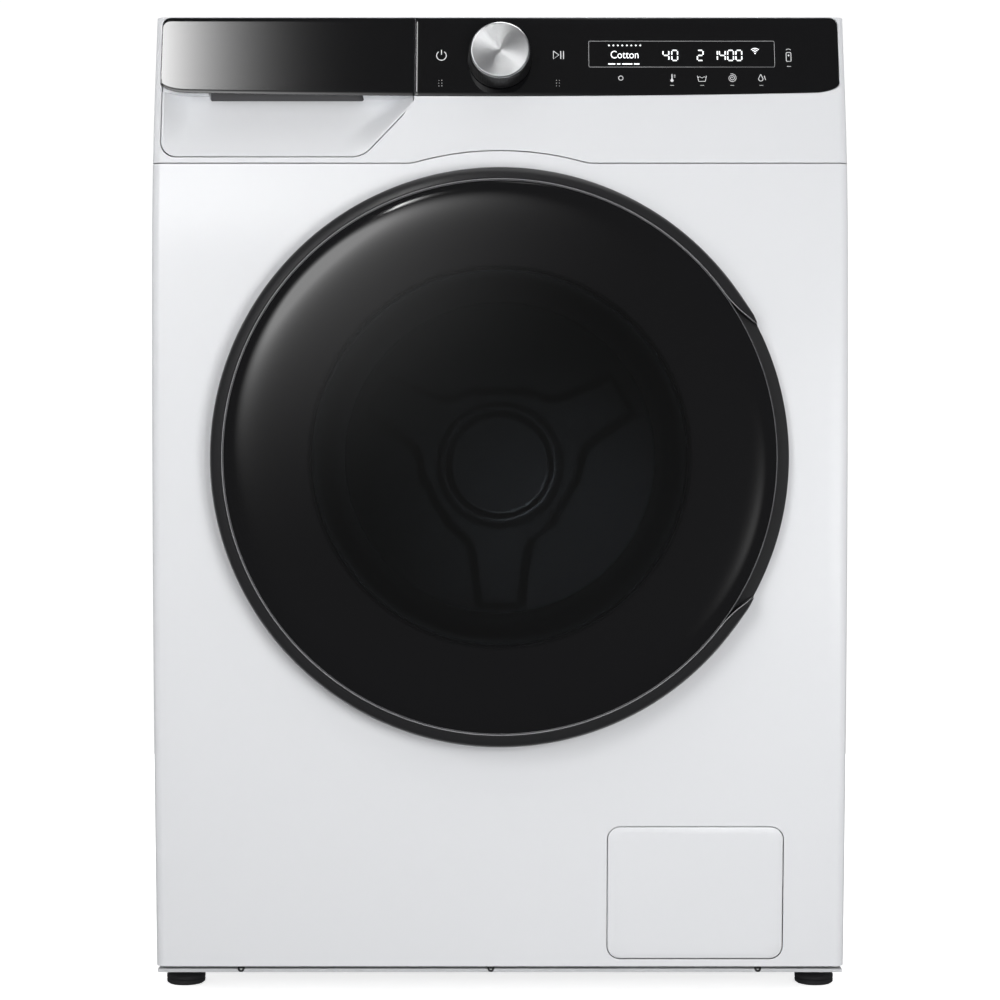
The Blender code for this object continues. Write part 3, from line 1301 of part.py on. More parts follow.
def make_services():
    """Water inlet valve, cord gland and drain spigot, each through its hole in the rear panel."""
    spots = service_spots()
    x, z, r = spots["inlet"]
    thread = [(0.0075, Y_REAR), (r, Y_REAR), (r, Y_BACK - 0.010), (0, Y_BACK - 0.010), (0, Y_REAR - 0.010), (0.0075, Y_REAR - 0.010)]
    thread = thread[3:2:-1] + thread[2::-1] + thread[5:3:-1]
    valve = turned("inlet_valve", BLUE_PLASTIC, thread, along_y(x, z), 24)
    body = block("tool_valve_body", WHITE, (x - 0.024, x + 0.024), (Y_BACK - 0.052, Y_BACK - SHEET - FIT), (z - 0.018, z + 0.018))
    join(valve, body)
    tube(spots["gland"], "cable_gland", BLACK_RUBBER, 0.0040, 0.0045, Y_BACK - 0.012, Y_REAR - 0.001)
    tube(spots["drain"], "drain_outlet", PALE_GREY, 0.0085, 0.0060, Y_BACK - 0.020, Y_REAR)


def tube(spot, name, material, bore, lip, low, high):
    """Open tube through the rear panel, with a collar against its outside."""
    x, z, r = spot
    collar = Y_BACK + FIT
    section = [(bore, low), (r, low), (r, collar), (r + lip, collar), (r + lip, collar + 0.0025), (r, collar + 0.0035), (r, high), (bore, high)]
    return turned(name, material, section, along_y(x, z), 16)


def foot_spots():
    """(x, y) of each levelling foot."""
    x, front, back = HALF - FOOT_SIDE, Y_APEX + FOOT_FRONT, Y_BACK - FOOT_BACK
    return {
        "foot_front_left": (-x, front),
        "foot_front_right": (x, front),
        "foot_rear_left": (-x, back),
        "foot_rear_right": (x, back),
    }


def make_feet():
    """Levelling feet: rubber pad, lock nut and stud in one, screwed into the base pan's bosses."""
    section = [
        (0, 0),
        (FOOT_RADIUS - 0.0015, 0),
        (FOOT_RADIUS, 0.0020),
        (FOOT_RADIUS, 0.0095),
        (FOOT_RADIUS - 0.0030, 0.0123),
        (0.0085, 0.0123),
        (0.0085, BASE_Z - 0.0005),
        (STUD_RADIUS, BASE_Z - 0.0005),
        (STUD_RADIUS, BASE_Z + 0.0200),
        (0, BASE_Z + 0.0200),
    ]
    for name, (x, y) in foot_spots().items():
        foot = turned(name, BLACK_RUBBER, section, along_z(0, 0), 20)
        foot.location = (x, y, 0)


make_front_panel()
make_fascia()
make_case()
make_controls()
make_drawer()
make_door()
make_washing_unit()
make_flap()
make_services()
make_feet()
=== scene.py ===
# %% [markdown]
# # A front load washing machine
# The working model brings every solid at its real place, and it never moves. This lesson dresses it:
# pieces whose shape shows get a finer surface of their own, and every other piece gets a finish.

# %% Load the working model
import math

import bmesh
import bpy
import numpy as np
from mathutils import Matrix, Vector


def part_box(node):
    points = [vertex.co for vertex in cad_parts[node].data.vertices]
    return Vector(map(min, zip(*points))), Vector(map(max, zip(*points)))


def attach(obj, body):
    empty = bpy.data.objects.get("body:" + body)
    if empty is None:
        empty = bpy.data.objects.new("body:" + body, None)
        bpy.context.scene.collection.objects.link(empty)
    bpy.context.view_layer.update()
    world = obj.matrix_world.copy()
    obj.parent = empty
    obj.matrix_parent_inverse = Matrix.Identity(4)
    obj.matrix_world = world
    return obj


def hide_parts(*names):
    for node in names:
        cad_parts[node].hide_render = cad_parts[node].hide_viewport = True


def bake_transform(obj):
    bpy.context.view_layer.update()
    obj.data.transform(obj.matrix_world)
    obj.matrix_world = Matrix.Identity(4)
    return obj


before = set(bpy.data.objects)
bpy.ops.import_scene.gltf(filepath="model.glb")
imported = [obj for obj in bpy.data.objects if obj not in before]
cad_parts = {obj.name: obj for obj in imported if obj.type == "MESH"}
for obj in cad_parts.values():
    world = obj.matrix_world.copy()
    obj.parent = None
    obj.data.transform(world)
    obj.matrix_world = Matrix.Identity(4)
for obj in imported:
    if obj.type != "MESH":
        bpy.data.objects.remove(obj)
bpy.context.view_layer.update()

# %% [markdown]
# ## Where things are
# The main places come from the boxes of the solids, so that the fine surfaces land exactly on them.

# %% Main places
panel_low, panel_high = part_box("front_panel")
glass_low, glass_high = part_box("door_window")
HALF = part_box("control_fascia")[1].x
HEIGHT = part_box("control_fascia")[1].z
Y_APEX = panel_low.y
Y_RETURN = panel_high.y
SKIRT_Z = panel_low.z
Y_DOOR = glass_low.y
DOOR_Z = (glass_low.z + glass_high.z) / 2
DOOR_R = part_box("door_ring")[1].x
GLASS_R = glass_high.x
DRAWER_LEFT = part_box("drawer_lip")[0].x
DRAWER_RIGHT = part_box("drawer_lip")[1].x
LEAN = math.radians(13.3)
SEAM_Z = HEIGHT - 0.1313
STRIP_Z = HEIGHT - 0.0714
STRIP_TOP = HEIGHT - 0.0008
SEAM_HALF = 0.00045  # half the gap of the seam between fascia and panel
REACH = 0.05  # how far a cutting shape stands out in front
print("door centre height", round(DOOR_Z, 4), "rim radius", round(DOOR_R, 4))


# %% [markdown]
# ## The line of the front
# The white front is not flat. Seen from the side it is a long shallow crown below, a short flat stretch,
# and then a bend that leans the controls back. One function gives its depth at any height, and the panel,
# the fascia, the black strip, the drawer and the flap all follow it.

# %% Depth of the front
def front_y(z):
    """Depth at height z: a parabola under a flat stretch, then a circular bend, then a straight lean."""
    low, high, straight = HEIGHT - 0.270, HEIGHT - 0.210, HEIGHT - 0.060
    z = np.asarray(z, float)
    crown = (low - SKIRT_Z) ** 2 / (2 * 0.0288)
    bend = (straight - high) / math.sin(LEAN)
    fall = np.clip(low - z, 0, None) ** 2 / (2 * crown)
    turn = np.clip(z - high, 0, straight - high)
    return Y_APEX + fall + bend - np.sqrt(bend**2 - turn**2) + np.clip(z - straight, 0,
                                                                       None) * math.tan(LEAN)


print("front at skirt, belly, top:", np.round(front_y([SKIRT_Z, 0.6, HEIGHT]), 4))


# %% [markdown]
# ## From numbers to surfaces
# Every new shape is a grid of points: rows and columns worked out as whole arrays. `piece` turns such
# grids into one mesh, welds the seams and poles, and turns the faces outwards.

# %% Grid to mesh
def piece(name, patches, material, body, replaces=(), uv=None, bevel=0.0, sharp=35, steps=2):
    """Joins grids of points into one welded mesh that rides on a body."""
    corners, faces, start = [], [], 0
    for patch in patches:
        rows, columns = patch.shape[:2]
        index = start + np.arange(rows * columns).reshape(rows, columns)
        around = [index[:-1, :-1], index[:-1, 1:], index[1:, 1:], index[1:, :-1]]
        faces.append(np.stack(around, -1).reshape(-1, 4))
        corners.append(patch.reshape(-1, 3))
        start += rows * columns
    corners, faces = np.concatenate(corners), np.concatenate(faces)
    mesh = bpy.data.meshes.new(name)
    mesh.from_pydata(corners.tolist(), [], faces.tolist())
    if uv is not None:
        flat = np.concatenate([part.reshape(-1, 2) for part in uv])[faces.ravel()]
        mesh.uv_layers.new(name="surface").data.foreach_set("uv", flat.ravel())
    bm = bmesh.new()
    bm.from_mesh(mesh)
    bmesh.ops.remove_doubles(bm, verts=bm.verts[:], dist=2e-6)
    bmesh.ops.recalc_face_normals(bm, faces=bm.faces[:])
    bm.to_mesh(mesh)
    bm.free()
    mesh.materials.append(material)
    made = bpy.data.objects.new(name, mesh)
    bpy.context.scene.collection.objects.link(made)
    if bevel:
        rounding = made.modifiers.new("rounded edges", "BEVEL")
        rounding.width, rounding.segments, rounding.limit_method = bevel, steps, "ANGLE"
        rounding.angle_limit = math.radians(40)
        settle(made)
    smooth(made, sharp)
    if body:
        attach(made, body)
    if replaces:
        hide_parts(*([replaces] if isinstance(replaces, str) else replaces))
    return made


def settle(made):
    """Applies the modifiers."""
    graph = bpy.context.evaluated_depsgraph_get()
    mesh = bpy.data.meshes.new_from_object(made.evaluated_get(graph))
    made.modifiers.clear()
    made.data = mesh


def smooth(made, sharp):
    """Smooth shading that breaks at edges sharper than the angle."""
    made.data.shade_smooth()
    made.data.set_sharp_from_angle(angle=math.radians(sharp))


def slab(outer, inner):
    """Closed wall between two grids of the same size: both faces and the four edges."""
    edges = [np.stack([outer[0], inner[0]]), np.stack([outer[-1], inner[-1]])]
    edges += [np.stack([outer[:, 0], inner[:, 0]]), np.stack([outer[:, -1], inner[:, -1]])]
    return [outer, inner, *edges]


def stacked(x, y, z):
    """One grid of points from three arrays that broadcast to the same size."""
    return np.stack(np.broadcast_arrays(x, y, z), -1).astype(float)


# %% Round pieces and rounded profiles
def eased(profile, reach, closed=True):
    """Each corner is cut back by reach along both its sides, then once more by a third of it."""
    points = np.asarray(profile, float)
    for cut in (reach, reach / 3):
        before, after = np.roll(points, 1, 0), np.roll(points, -1, 0)
        back, on = before - points, after - points
        back_length = np.linalg.norm(back, axis=1, keepdims=True) + 1e-12
        on_length = np.linalg.norm(on, axis=1, keepdims=True) + 1e-12
        first = points + back / back_length * np.minimum(cut, 0.4 * back_length)
        second = points + on / on_length * np.minimum(cut, 0.4 * on_length)
        if not closed:
            first[0] = second[0] = points[0]
            first[-1] = second[-1] = points[-1]
        points = np.stack([first, second], 1).reshape(-1, 2)
    return points


def turned(profile, x, z, sides=192, closed=True):
    """Profile of (radius, y) carried round an axis along Y through (x, z)."""
    ring = np.vstack([profile, profile[:1]]) if closed else np.asarray(profile)
    a = np.linspace(0, 2 * math.pi, sides + 1)[None, :]
    r, y = ring[:, :1], ring[:, 1:2]
    return stacked(x + r * np.cos(a), y, z + r * np.sin(a))


def upright(profile, x, y, sides=64):
    """Profile of (radius, z) carried round an axis along Z through (x, y)."""
    ring = np.vstack([profile, profile[:1]])
    a = np.linspace(0, 2 * math.pi, sides + 1)[None, :]
    r, z = ring[:, :1], ring[:, 1:2]
    return stacked(x + r * np.cos(a), y + r * np.sin(a), z)


def step(low, high, value):
    """Soft step: 0 up to low, 1 from high on, with a smooth rise between."""
    t = np.clip((value - low) / (high - low), 0, 1)
    return t * t * (3 - 2 * t)


def rounded_rectangle(a, b, radius, inset=0.0, corner=8):
    """Outline of a rectangle with quarter-circle corners, drawn in by inset. Closed, as (n, 2)."""
    r = max(radius - inset, 0.25 * radius)
    low_a, high_a = a[0] + inset + r, a[1] - inset - r
    low_b, high_b = b[0] + inset + r, b[1] - inset - r
    turn = np.linspace(0, math.pi / 2, corner + 1)
    centres = [(high_a, low_b, -math.pi / 2), (high_a, high_b, 0.0), (low_a, high_b, math.pi / 2),
               (low_a, low_b, math.pi)]
    parts = [np.stack([ca + r * np.cos(start + turn), cb + r * np.sin(start + turn)], 1) for ca, cb,
             start in centres]
    outline = np.concatenate(parts)
    return np.vstack([outline, outline[:1]])


# %% Cutting with a shape
def cutter(outline, low, high):
    """Closed prism of an outline in x and z, from y = low to y = high."""
    outline = np.asarray(outline, float)
    count = len(outline)
    front = np.stack([outline[:, 0], np.full(count, low), outline[:, 1]], 1)
    rear = np.stack([outline[:, 0], np.full(count, high), outline[:, 1]], 1)
    i = np.arange(count)
    j = (i + 1) % count
    sides = np.stack([i, j, j + count, i + count], 1).tolist()
    mesh = bpy.data.meshes.new("cutter")
    mesh.from_pydata(np.concatenate([front, rear]).tolist(), [],
                     [i.tolist(), (i[::-1] + count).tolist(), *sides])
    bm = bmesh.new()
    bm.from_mesh(mesh)
    bmesh.ops.recalc_face_normals(bm, faces=bm.faces[:])
    bm.to_mesh(mesh)
    bm.free()
    made = bpy.data.objects.new("cutter", mesh)
    bpy.context.scene.collection.objects.link(made)
    return made


def carve(made, tools, sharp=30):
    """Takes the tools away from a piece for good, then drops them."""
    for tool in tools:
        cut = made.modifiers.new("cut", "BOOLEAN")
        cut.operation, cut.solver, cut.object = "DIFFERENCE", "EXACT", tool
    settle(made)
    for tool in tools:
        bpy.data.objects.remove(tool, do_unlink=True)
    smooth(made, sharp)
    return made


def circle(x, z, radius, count=160):
    """Outline of a circle in x and z."""
    a = np.linspace(0, 2 * math.pi, count, endpoint=False)
    return np.stack([x + radius * np.cos(a), z + radius * np.sin(a)], 1)


# %% [markdown]
# ## Finishes
# A real finish is never one flat colour. Paint has a fine orange peel, moulded plastic a faint grain,
# steel a brushed or spangled surface. `finish` starts from a Principled shader, lets a broad noise vary
# its colour and roughness a little, and adds a fine bump. Numbers that hold everywhere sit on the sockets.

# %% Shader helpers
def network(name):
    """A new material, its tree and its first shader."""
    material = bpy.data.materials.new(name)
    material.use_nodes = True
    return material, material.node_tree, material.node_tree.nodes["Principled BSDF"]


def set_sockets(shader, sockets):
    """Constants by socket name; an underscore stands for a space."""
    for socket, value in sockets.items():
        shader.inputs[socket.replace("_", " ")].default_value = value


def add(tree, kind, operation=None, **sockets):
    """A new shader node with its constants set."""
    made = tree.nodes.new("ShaderNode" + kind)
    if operation:
        made.operation = operation
    set_sockets(made, sockets)
    return made


def own_map(tree):
    """The piece's own surface map."""
    chart = add(tree, "UVMap")
    chart.uv_map = "surface"
    return chart


def join(tree, *wires):
    """Wires, each (node, its output, next node, that node's input)."""
    for source, output, target, socket in wires:
        tree.links.new(source.outputs[output], target.inputs[socket])


# %% Finish maker
def finish(name, colour, roughness, metallic=0.0, grain=900.0, bump=0.02, vary=0.04, edge=0.0,
           stretch=(1, 1, 1), **more):
    """Principled finish with a broad variation, a fine bump and softened edges."""
    material, tree, shader = network(name)
    set_sockets(shader, {"Metallic": metallic, **more})
    place = add(tree, "TexCoord")
    fit = add(tree, "Mapping", Scale=stretch)
    broad = add(tree, "TexNoise", Scale=7.0, Detail=5.0)
    darker, lighter = [c * (1 - vary) for c in colour], [min(1, c * (1 + vary)) for c in colour]
    tint = add(tree, "MixRGB", Color1=(*darker, 1), Color2=(*lighter, 1))
    fine = add(tree, "TexNoise", Scale=grain, Detail=2.0)
    rough = add(tree, "MapRange", To_Min=roughness * 0.85, To_Max=roughness * 1.15)
    relief = add(tree, "Bump", Strength=bump, Distance=0.001)
    join(tree, (place, "Object", fit, "Vector"), (place, "Object", broad, "Vector"),
         (broad, "Fac", tint, "Fac"), (tint, "Color", shader, "Base Color"),
         (fit, "Vector", fine, "Vector"), (fine, "Fac", relief, "Height"),
         (broad, "Fac", rough, "Value"), (rough, "Result", shader, "Roughness"),
         (relief, "Normal", shader, "Normal"))
    if edge:
        soft = add(tree, "Bevel", Radius=edge)
        soft.samples = 4
        join(tree, (soft, "Normal", relief, "Normal"))
    return material


# %% The finishes of this machine
WHITE_PAINT = finish("white_paint", (0.80, 0.81, 0.83), 0.30, grain=1400, bump=0.015, vary=0.006,
                     Coat_Weight=0.35, Coat_Roughness=0.10)
WHITE_PLASTIC = finish("white_plastic", (0.78, 0.79, 0.81), 0.36, grain=2200, bump=0.03, vary=0.008,
                       edge=0.0005)
WHITE_LAMINATE = finish("white_laminate", (0.78, 0.79, 0.80), 0.42, grain=1800, bump=0.05, vary=0.01)
GREY_PLASTIC = finish("grey_plastic", (0.55, 0.56, 0.57), 0.48, grain=2000, bump=0.05, vary=0.02,
                      edge=0.0005)
PANEL_GLASS = finish("panel_glass", (0.0040, 0.0040, 0.0045), 0.07, grain=500, bump=0.001, vary=0.1)
RIM_BLACK = finish("rim_black", (0.016, 0.016, 0.017), 0.30, grain=1500, bump=0.01, vary=0.1)
# painted shade: dark grey for a liner that darkens the drawer's finger pocket
GRIP_SHADE_GREY = finish("grip_painted_shade", (0.12, 0.12, 0.125), 0.45, grain=1500, bump=0.03, vary=0.08)
# painted highlight: grey for a bead that stands in for light caught on the door glass's edge
PAINTED_GLINT_GREY = finish("painted_glint_grey", (0.11, 0.11, 0.115), 0.40, grain=1500, bump=0.01, vary=0.1)
# painted highlight: lighter grey for the crest's bead and the seam beside the drawer, standing in for light
# caught on edges
PAINTED_HIGHLIGHT_GREY = finish("painted_highlight_grey", (0.30, 0.30, 0.31), 0.35, grain=1500, bump=0.01, vary=0.1)
BLACK_SATIN = finish("black_satin", (0.014, 0.014, 0.015), 0.34, grain=1800, bump=0.04, vary=0.1,
                     edge=0.0004)
STAINLESS = finish("stainless", (0.60, 0.60, 0.61), 0.22, 1.0, grain=260, bump=0.03, vary=0.03,
                   stretch=(1, 0.05, 1))
DRUM_STEEL = finish("drum_steel", (0.60, 0.61, 0.62), 0.34, 1.0, grain=160, bump=0.006, vary=0.03)
ZINC = finish("galvanised_steel", (0.52, 0.53, 0.55), 0.40, 1.0, grain=90, bump=0.02, vary=0.16,
              edge=0.0005)
CAST = finish("cast_metal", (0.50, 0.50, 0.52), 0.52, 0.9, grain=700, bump=0.18, vary=0.08, edge=0.0006)
CONCRETE = finish("cast_concrete", (0.36, 0.35, 0.33), 0.92, grain=320, bump=0.55, vary=0.22)
GREY_RUBBER = finish("grey_rubber", (0.20, 0.205, 0.21), 0.55, grain=1500, bump=0.06, vary=0.05)
BLACK_RUBBER = finish("black_rubber", (0.016, 0.016, 0.017), 0.62, grain=1300, bump=0.10, vary=0.12)
TUB_PLASTIC = finish("tub_plastic", (0.46, 0.47, 0.49), 0.50, grain=900, bump=0.08, vary=0.05, edge=0.0006)
BLUE_PLASTIC = finish("blue_plastic", (0.07, 0.26, 0.56), 0.40, grain=1800, bump=0.05, vary=0.05,
                      edge=0.0005)
CIRCUIT = finish("circuit_board", (0.02, 0.13, 0.06), 0.45, grain=420, bump=0.12, vary=0.20)
print("finishes:", len(bpy.data.materials))


# %% [markdown]
# Spun aluminium has fine rings that turn the light into fans. The dial's cap carries a map whose first
# direction runs round it, so a Tangent node can lay the anisotropy along the rings.

# %% Spun aluminium
def make_spun():
    """Metal with ring scratches along the map's second direction and anisotropy along the first."""
    material = finish("spun_aluminium", (0.86, 0.87, 0.88), 0.30, 1.0, bump=0.0, vary=0.01,
                      Anisotropic=0.85)
    tree = material.node_tree
    shader = tree.nodes["Principled BSDF"]
    rings = add(tree, "Mapping", Scale=(3, 260, 1))
    scratch = add(tree, "TexNoise", Scale=1.0)
    relief = add(tree, "Bump", Strength=0.12, Distance=0.0002)
    along = add(tree, "Tangent")
    along.direction_type, along.uv_map = "UV_MAP", "surface"
    join(tree, (own_map(tree), "UV", rings, "Vector"), (rings, "Vector", scratch, "Vector"),
         (scratch, "Fac", relief, "Height"), (relief, "Normal", shader, "Normal"),
         (along, "Tangent", shader, "Tangent"))
    return material


# %% Glass of the door
def make_door_glass():
    """Black print outside a radius, clear dark glass inside it: mixed by distance from the axis."""
    material, tree, printed = network("door_glass")
    set_sockets(printed, {"Base Color": (0.004, 0.004, 0.0045, 1), "Roughness": 0.10})
    place = add(tree, "TexCoord")
    centre = add(tree, "Mapping", Location=(0, 0, -DOOR_Z))
    flat = add(tree, "VectorMath", "MULTIPLY")
    flat.inputs[1].default_value = (1, 0, 1)
    far = add(tree, "VectorMath", "LENGTH")
    rim = add(tree, "MapRange", From_Min=0.1585, From_Max=0.1645)
    rim.interpolation_type = "SMOOTHSTEP"
    see = add(tree, "BsdfTransparent", Color=(0.55, 0.56, 0.57, 1))
    shine = add(tree, "BsdfGlossy", Roughness=0.02)
    gloss = add(tree, "Fresnel", IOR=1.5)
    clear, whole = add(tree, "MixShader"), add(tree, "MixShader")
    join(tree, (place, "Object", centre, "Vector"), (centre, "Vector", flat, 0), (flat, "Vector", far, 0),
         (far, "Value", rim, "Value"), (gloss, "Fac", clear, "Fac"), (see, "BSDF", clear, 1),
         (shine, "BSDF", clear, 2), (rim, "Result", whole, "Fac"), (clear, "Shader", whole, 1),
         (printed, "BSDF", whole, 2), (whole, "Shader", tree.nodes["Material Output"], "Surface"))
    return material


def make_bowl_glass():
    """Thick pressed glass: mostly seen through, with a shine that grows towards grazing angles."""
    material, tree, shader = network("bowl_glass")
    set_sockets(shader, {"Base Color": (0.10, 0.105, 0.105, 1), "Roughness": 0.02})
    see = add(tree, "BsdfTransparent", Color=(0.84, 0.85, 0.86, 1))
    turn = add(tree, "LayerWeight", Blend=0.28)
    mixed = add(tree, "MixShader")
    join(tree, (turn, "Fresnel", mixed, "Fac"), (see, "BSDF", mixed, 1), (shader, "BSDF", mixed, 2),
         (mixed, "Shader", tree.nodes["Material Output"], "Surface"))
    return material


# %% Perforated drum steel
def make_perforated(name, pitch):
    """Steel with a diamond grid of round holes, drawn on the piece's own map in metres; the holes are
    painted near-black as painted shade of the space behind them.
    """
    material = finish(name, (0.62, 0.62, 0.63), 0.20, 1.0, grain=300, bump=0.02, vary=0.03)
    tree = material.node_tree
    shader = tree.nodes["Principled BSDF"]
    turn = add(tree, "Mapping", Rotation=(0, 0, math.pi / 4))
    cells = add(tree, "TexVoronoi", Scale=1 / pitch, Randomness=0.0)
    hole = add(tree, "MapRange", From_Min=0.16, From_Max=0.20)
    steel = shader.inputs["Base Color"].links[0].from_node
    # painted shade: the holes are near-black instead of showing the tub behind them
    dark = add(tree, "MixRGB", Color1=(0.004, 0.004, 0.004, 1))
    dish = add(tree, "MapRange", From_Min=0.10, From_Max=0.34)
    relief = add(tree, "Bump", Strength=0.5, Distance=0.0015)
    join(tree, (own_map(tree), "UV", turn, "Vector"), (turn, "Vector", cells, "Vector"),
         (cells, "Distance", hole, "Value"), (steel, "Color", dark, "Color2"),
         (hole, "Result", dark, "Fac"), (dark, "Color", shader, "Base Color"),
         (hole, "Result", shader, "Metallic"), (cells, "Distance", dish, "Value"),
         (dish, "Result", relief, "Height"), (relief, "Normal", shader, "Normal"))
    return material


# %% Light of the display and of printed marks
def make_lit(name, colour, strength, body=0.6):
    """White print that also gives a little light of its own."""
    material = finish(name, (body, body, body), 0.45, grain=1500, bump=0.0, vary=0.02)
    shine = {"Emission Color": (*colour, 1), "Emission Strength": strength}
    set_sockets(material.node_tree.nodes["Principled BSDF"], shine)
    return material


SPUN = make_spun()
DOOR_GLASS = make_door_glass()
BOWL_GLASS = make_bowl_glass()
PERFORATED = make_perforated("perforated_steel", 0.0125)
DISPLAY_LIGHT = make_lit("display_light", (0.95, 0.98, 1.0), 1.1)
PRINT_WHITE = make_lit("printed_marks", (0.9, 0.92, 0.95), 0.32, 0.5)
print("with the special ones:", len(bpy.data.materials))


# %% [markdown]
# ## Painted front panel
# The front is one steel sheet, crowned like a car door and folded back round both edges. Its section is a
# flat stretch, two quarter rounds and two returns. The section slides up the front line, and the arched
# seam, the door's aperture, the flap's opening and the hinge and lock slots are cut out of the sheet.

# %% Wrapped section
EDGE_R = 0.008
APERTURE_R = 0.1765  # door opening in the front panel


def wrapped(z, inset):
    """The section at each height z, drawn in by inset: left return, corner, front, corner, right return."""
    half, radius = HALF - inset, EDGE_R - min(inset, 0.8 * EDGE_R)
    turn = np.linspace(0, math.pi / 2, 11)
    middle = np.linspace(-half + radius, half - radius, 73)[1:-1]
    corner_x = -half + radius - radius * np.cos(turn)
    corner_y = radius - radius * np.sin(turn)
    back = np.linspace(1, 0, 5)[:-1]
    x = np.concatenate([np.full(4, -half), corner_x, middle, -corner_x[::-1], np.full(4, half)])
    off = np.concatenate([np.full(4, radius), corner_y, 0 * middle, corner_y[::-1], np.full(4, radius)])
    share = np.concatenate([back, 0 * corner_x, 0 * middle, 0 * corner_x, back[::-1]])
    z = np.asarray(z)[:, None]
    near = front_y(z) + inset + off[None, :]
    return stacked(x[None, :] + 0 * z, near * (1 - share) + Y_RETURN * share, z)


def seam_line(offset):
    """The seam between fascia and panel: level, a fillet, an arch round the door, a fillet, level."""
    level, radius, fillet = SEAM_Z + offset, DOOR_R + 0.0178 + offset, 0.030 - offset
    rise = level + fillet - DOOR_Z
    x = math.sqrt((radius + fillet) ** 2 - rise**2)
    lean = math.atan2(rise, x)
    a = np.linspace(-math.pi / 2, -lean, 12)
    left = np.stack([-x + fillet * np.cos(a), level + fillet + fillet * np.sin(a)], 1)
    b = np.linspace(math.pi - lean, lean, 49)[1:-1]
    arch = np.stack([radius * np.cos(b), DOOR_Z + radius * np.sin(b)], 1)
    right = left[::-1] * [-1, 1]
    ends = [[-HALF - 0.02, level]], [[HALF + 0.02, level]]
    return np.concatenate([ends[0], left, arch, right, ends[1]])


def beyond(line, z):
    """Closes a line that runs left to right with a level far above or below it."""
    return np.concatenate([line, [[HALF + 0.02, z], [-HALF - 0.02, z]]])


# %% Front panel sheet
heights = np.linspace(SKIRT_Z, SEAM_Z + 0.018, 86)
panel = piece("front_sheet", slab(wrapped(heights, 0.0), wrapped(heights, 0.0012)), WHITE_PAINT, None)
flap_low, flap_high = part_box("filter_cover")
FLAP_X, FLAP_Z = (flap_low.x, flap_high.x), (flap_low.z, flap_high.z)
leaf_low, leaf_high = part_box("hinge_bracket")
hook_low, hook_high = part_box("latch_hook")
hook_x = (hook_low.x + hook_high.x) / 2
holes = [
    cutter(beyond(seam_line(-SEAM_HALF), HEIGHT), Y_APEX - REACH, Y_APEX + 0.2),
    cutter(circle(0, DOOR_Z, APERTURE_R), Y_APEX - REACH, Y_APEX + 0.05),
    cutter(rounded_rectangle(FLAP_X, FLAP_Z, 0.011, -0.0007)[:-1], Y_APEX - 0.01, Y_RETURN),
    cutter(rounded_rectangle((hook_x - 0.007, hook_x + 0.009), (DOOR_Z - 0.018, DOOR_Z + 0.018),
                             0.002)[:-1], -0.35, -0.25),
]
for side in (-1, 1):
    middle = DOOR_Z + side * 0.032
    outline = rounded_rectangle((leaf_low.x + 0.0035, leaf_low.x + 0.0255),
                                (middle - 0.003, middle + 0.003), 0.001)
    holes.append(cutter(outline[:-1], -0.35, -0.25))
carve(panel, holes)
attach(panel, "cabinet")
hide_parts("front_panel")
print("front sheet faces:", len(panel.data.polygons))


# %% [markdown]
# Round the aperture the sheet is rolled inwards over a 7 mm radius. The roll starts on the crowned sheet,
# so its depth changes round the circle, and ends in a straight collar that carries the gasket.

# %% Rolled aperture edge
ROLL_OUT, ROLL_R = 0.1760, 0.0070  # where the roll starts and its radius


def rolled_collar(grow):
    """Quarter round from the sheet to the collar, then straight back; grow thickens it inwards."""
    a = np.linspace(0, 2 * math.pi, 193)[None, :]
    turn = np.linspace(0, math.pi / 2, 9)[:, None]
    r = np.vstack([[[0.1768]], ROLL_OUT - ROLL_R * np.sin(turn), [[0.1690]]]) + grow
    edge = front_y(DOOR_Z + APERTURE_R * np.sin(a))
    sink = np.vstack([[[0.0]], ROLL_R * (1 - np.cos(turn))])
    y = np.vstack([edge + sink + grow * 0.9, np.full_like(edge, Y_APEX + 0.0205)])
    return stacked(r * np.cos(a), y, DOOR_Z + r * np.sin(a))


collar = piece("aperture_edge", slab(rolled_collar(0.0), rolled_collar(0.0011)), WHITE_PAINT, "cabinet")
print("collar faces:", len(collar.data.polygons))


# %% [markdown]
# ## Control fascia
# Over the seam the front is a plastic moulding with the same section. It frames the black strip, and it is
# cut away for the drawer. The strip's lower edge is a very shallow curve with rounded ends.

# %% Strip and drawer outlines
END_LONG, END_HIGH = 0.024, 0.0086  # rounded lower ends of the strip
TOP_CORNER = 0.007


def strip_edge(x):
    """Lower edge of the strip: it rises with the square of the distance from the middle."""
    return STRIP_Z + 0.0028 * (np.asarray(x) / (HALF - 0.040)) ** 2


def strip_low(x, left, right, round_left, round_right, grow=0.0):
    """Lower edge with elliptical ends 24 mm long and 8.6 mm high where asked."""
    z = strip_edge(np.clip(x, left + END_LONG * round_left, right - END_LONG * round_right)) - grow
    for end, sign, on in ((left, 1, round_left), (right, -1, round_right)):
        if on:
            t = np.clip(1 - (x - end) * sign / END_LONG, 0, 1)
            z = z + END_HIGH * (1 - np.sqrt(np.clip(1 - t**2, 0, 1)))
    return z


def strip_high(x, left, right, round_left, round_right, grow=0.0):
    """Upper edge with quarter-circle ends of 7 mm where asked."""
    z = np.full_like(np.asarray(x, float), STRIP_TOP + grow)
    for end, sign, on in ((left, 1, round_left), (right, -1, round_right)):
        if on:
            t = np.clip(1 - (x - end) * sign / TOP_CORNER, 0, 1)
            z = z - TOP_CORNER * (1 - np.sqrt(np.clip(1 - t**2, 0, 1)))
    return z


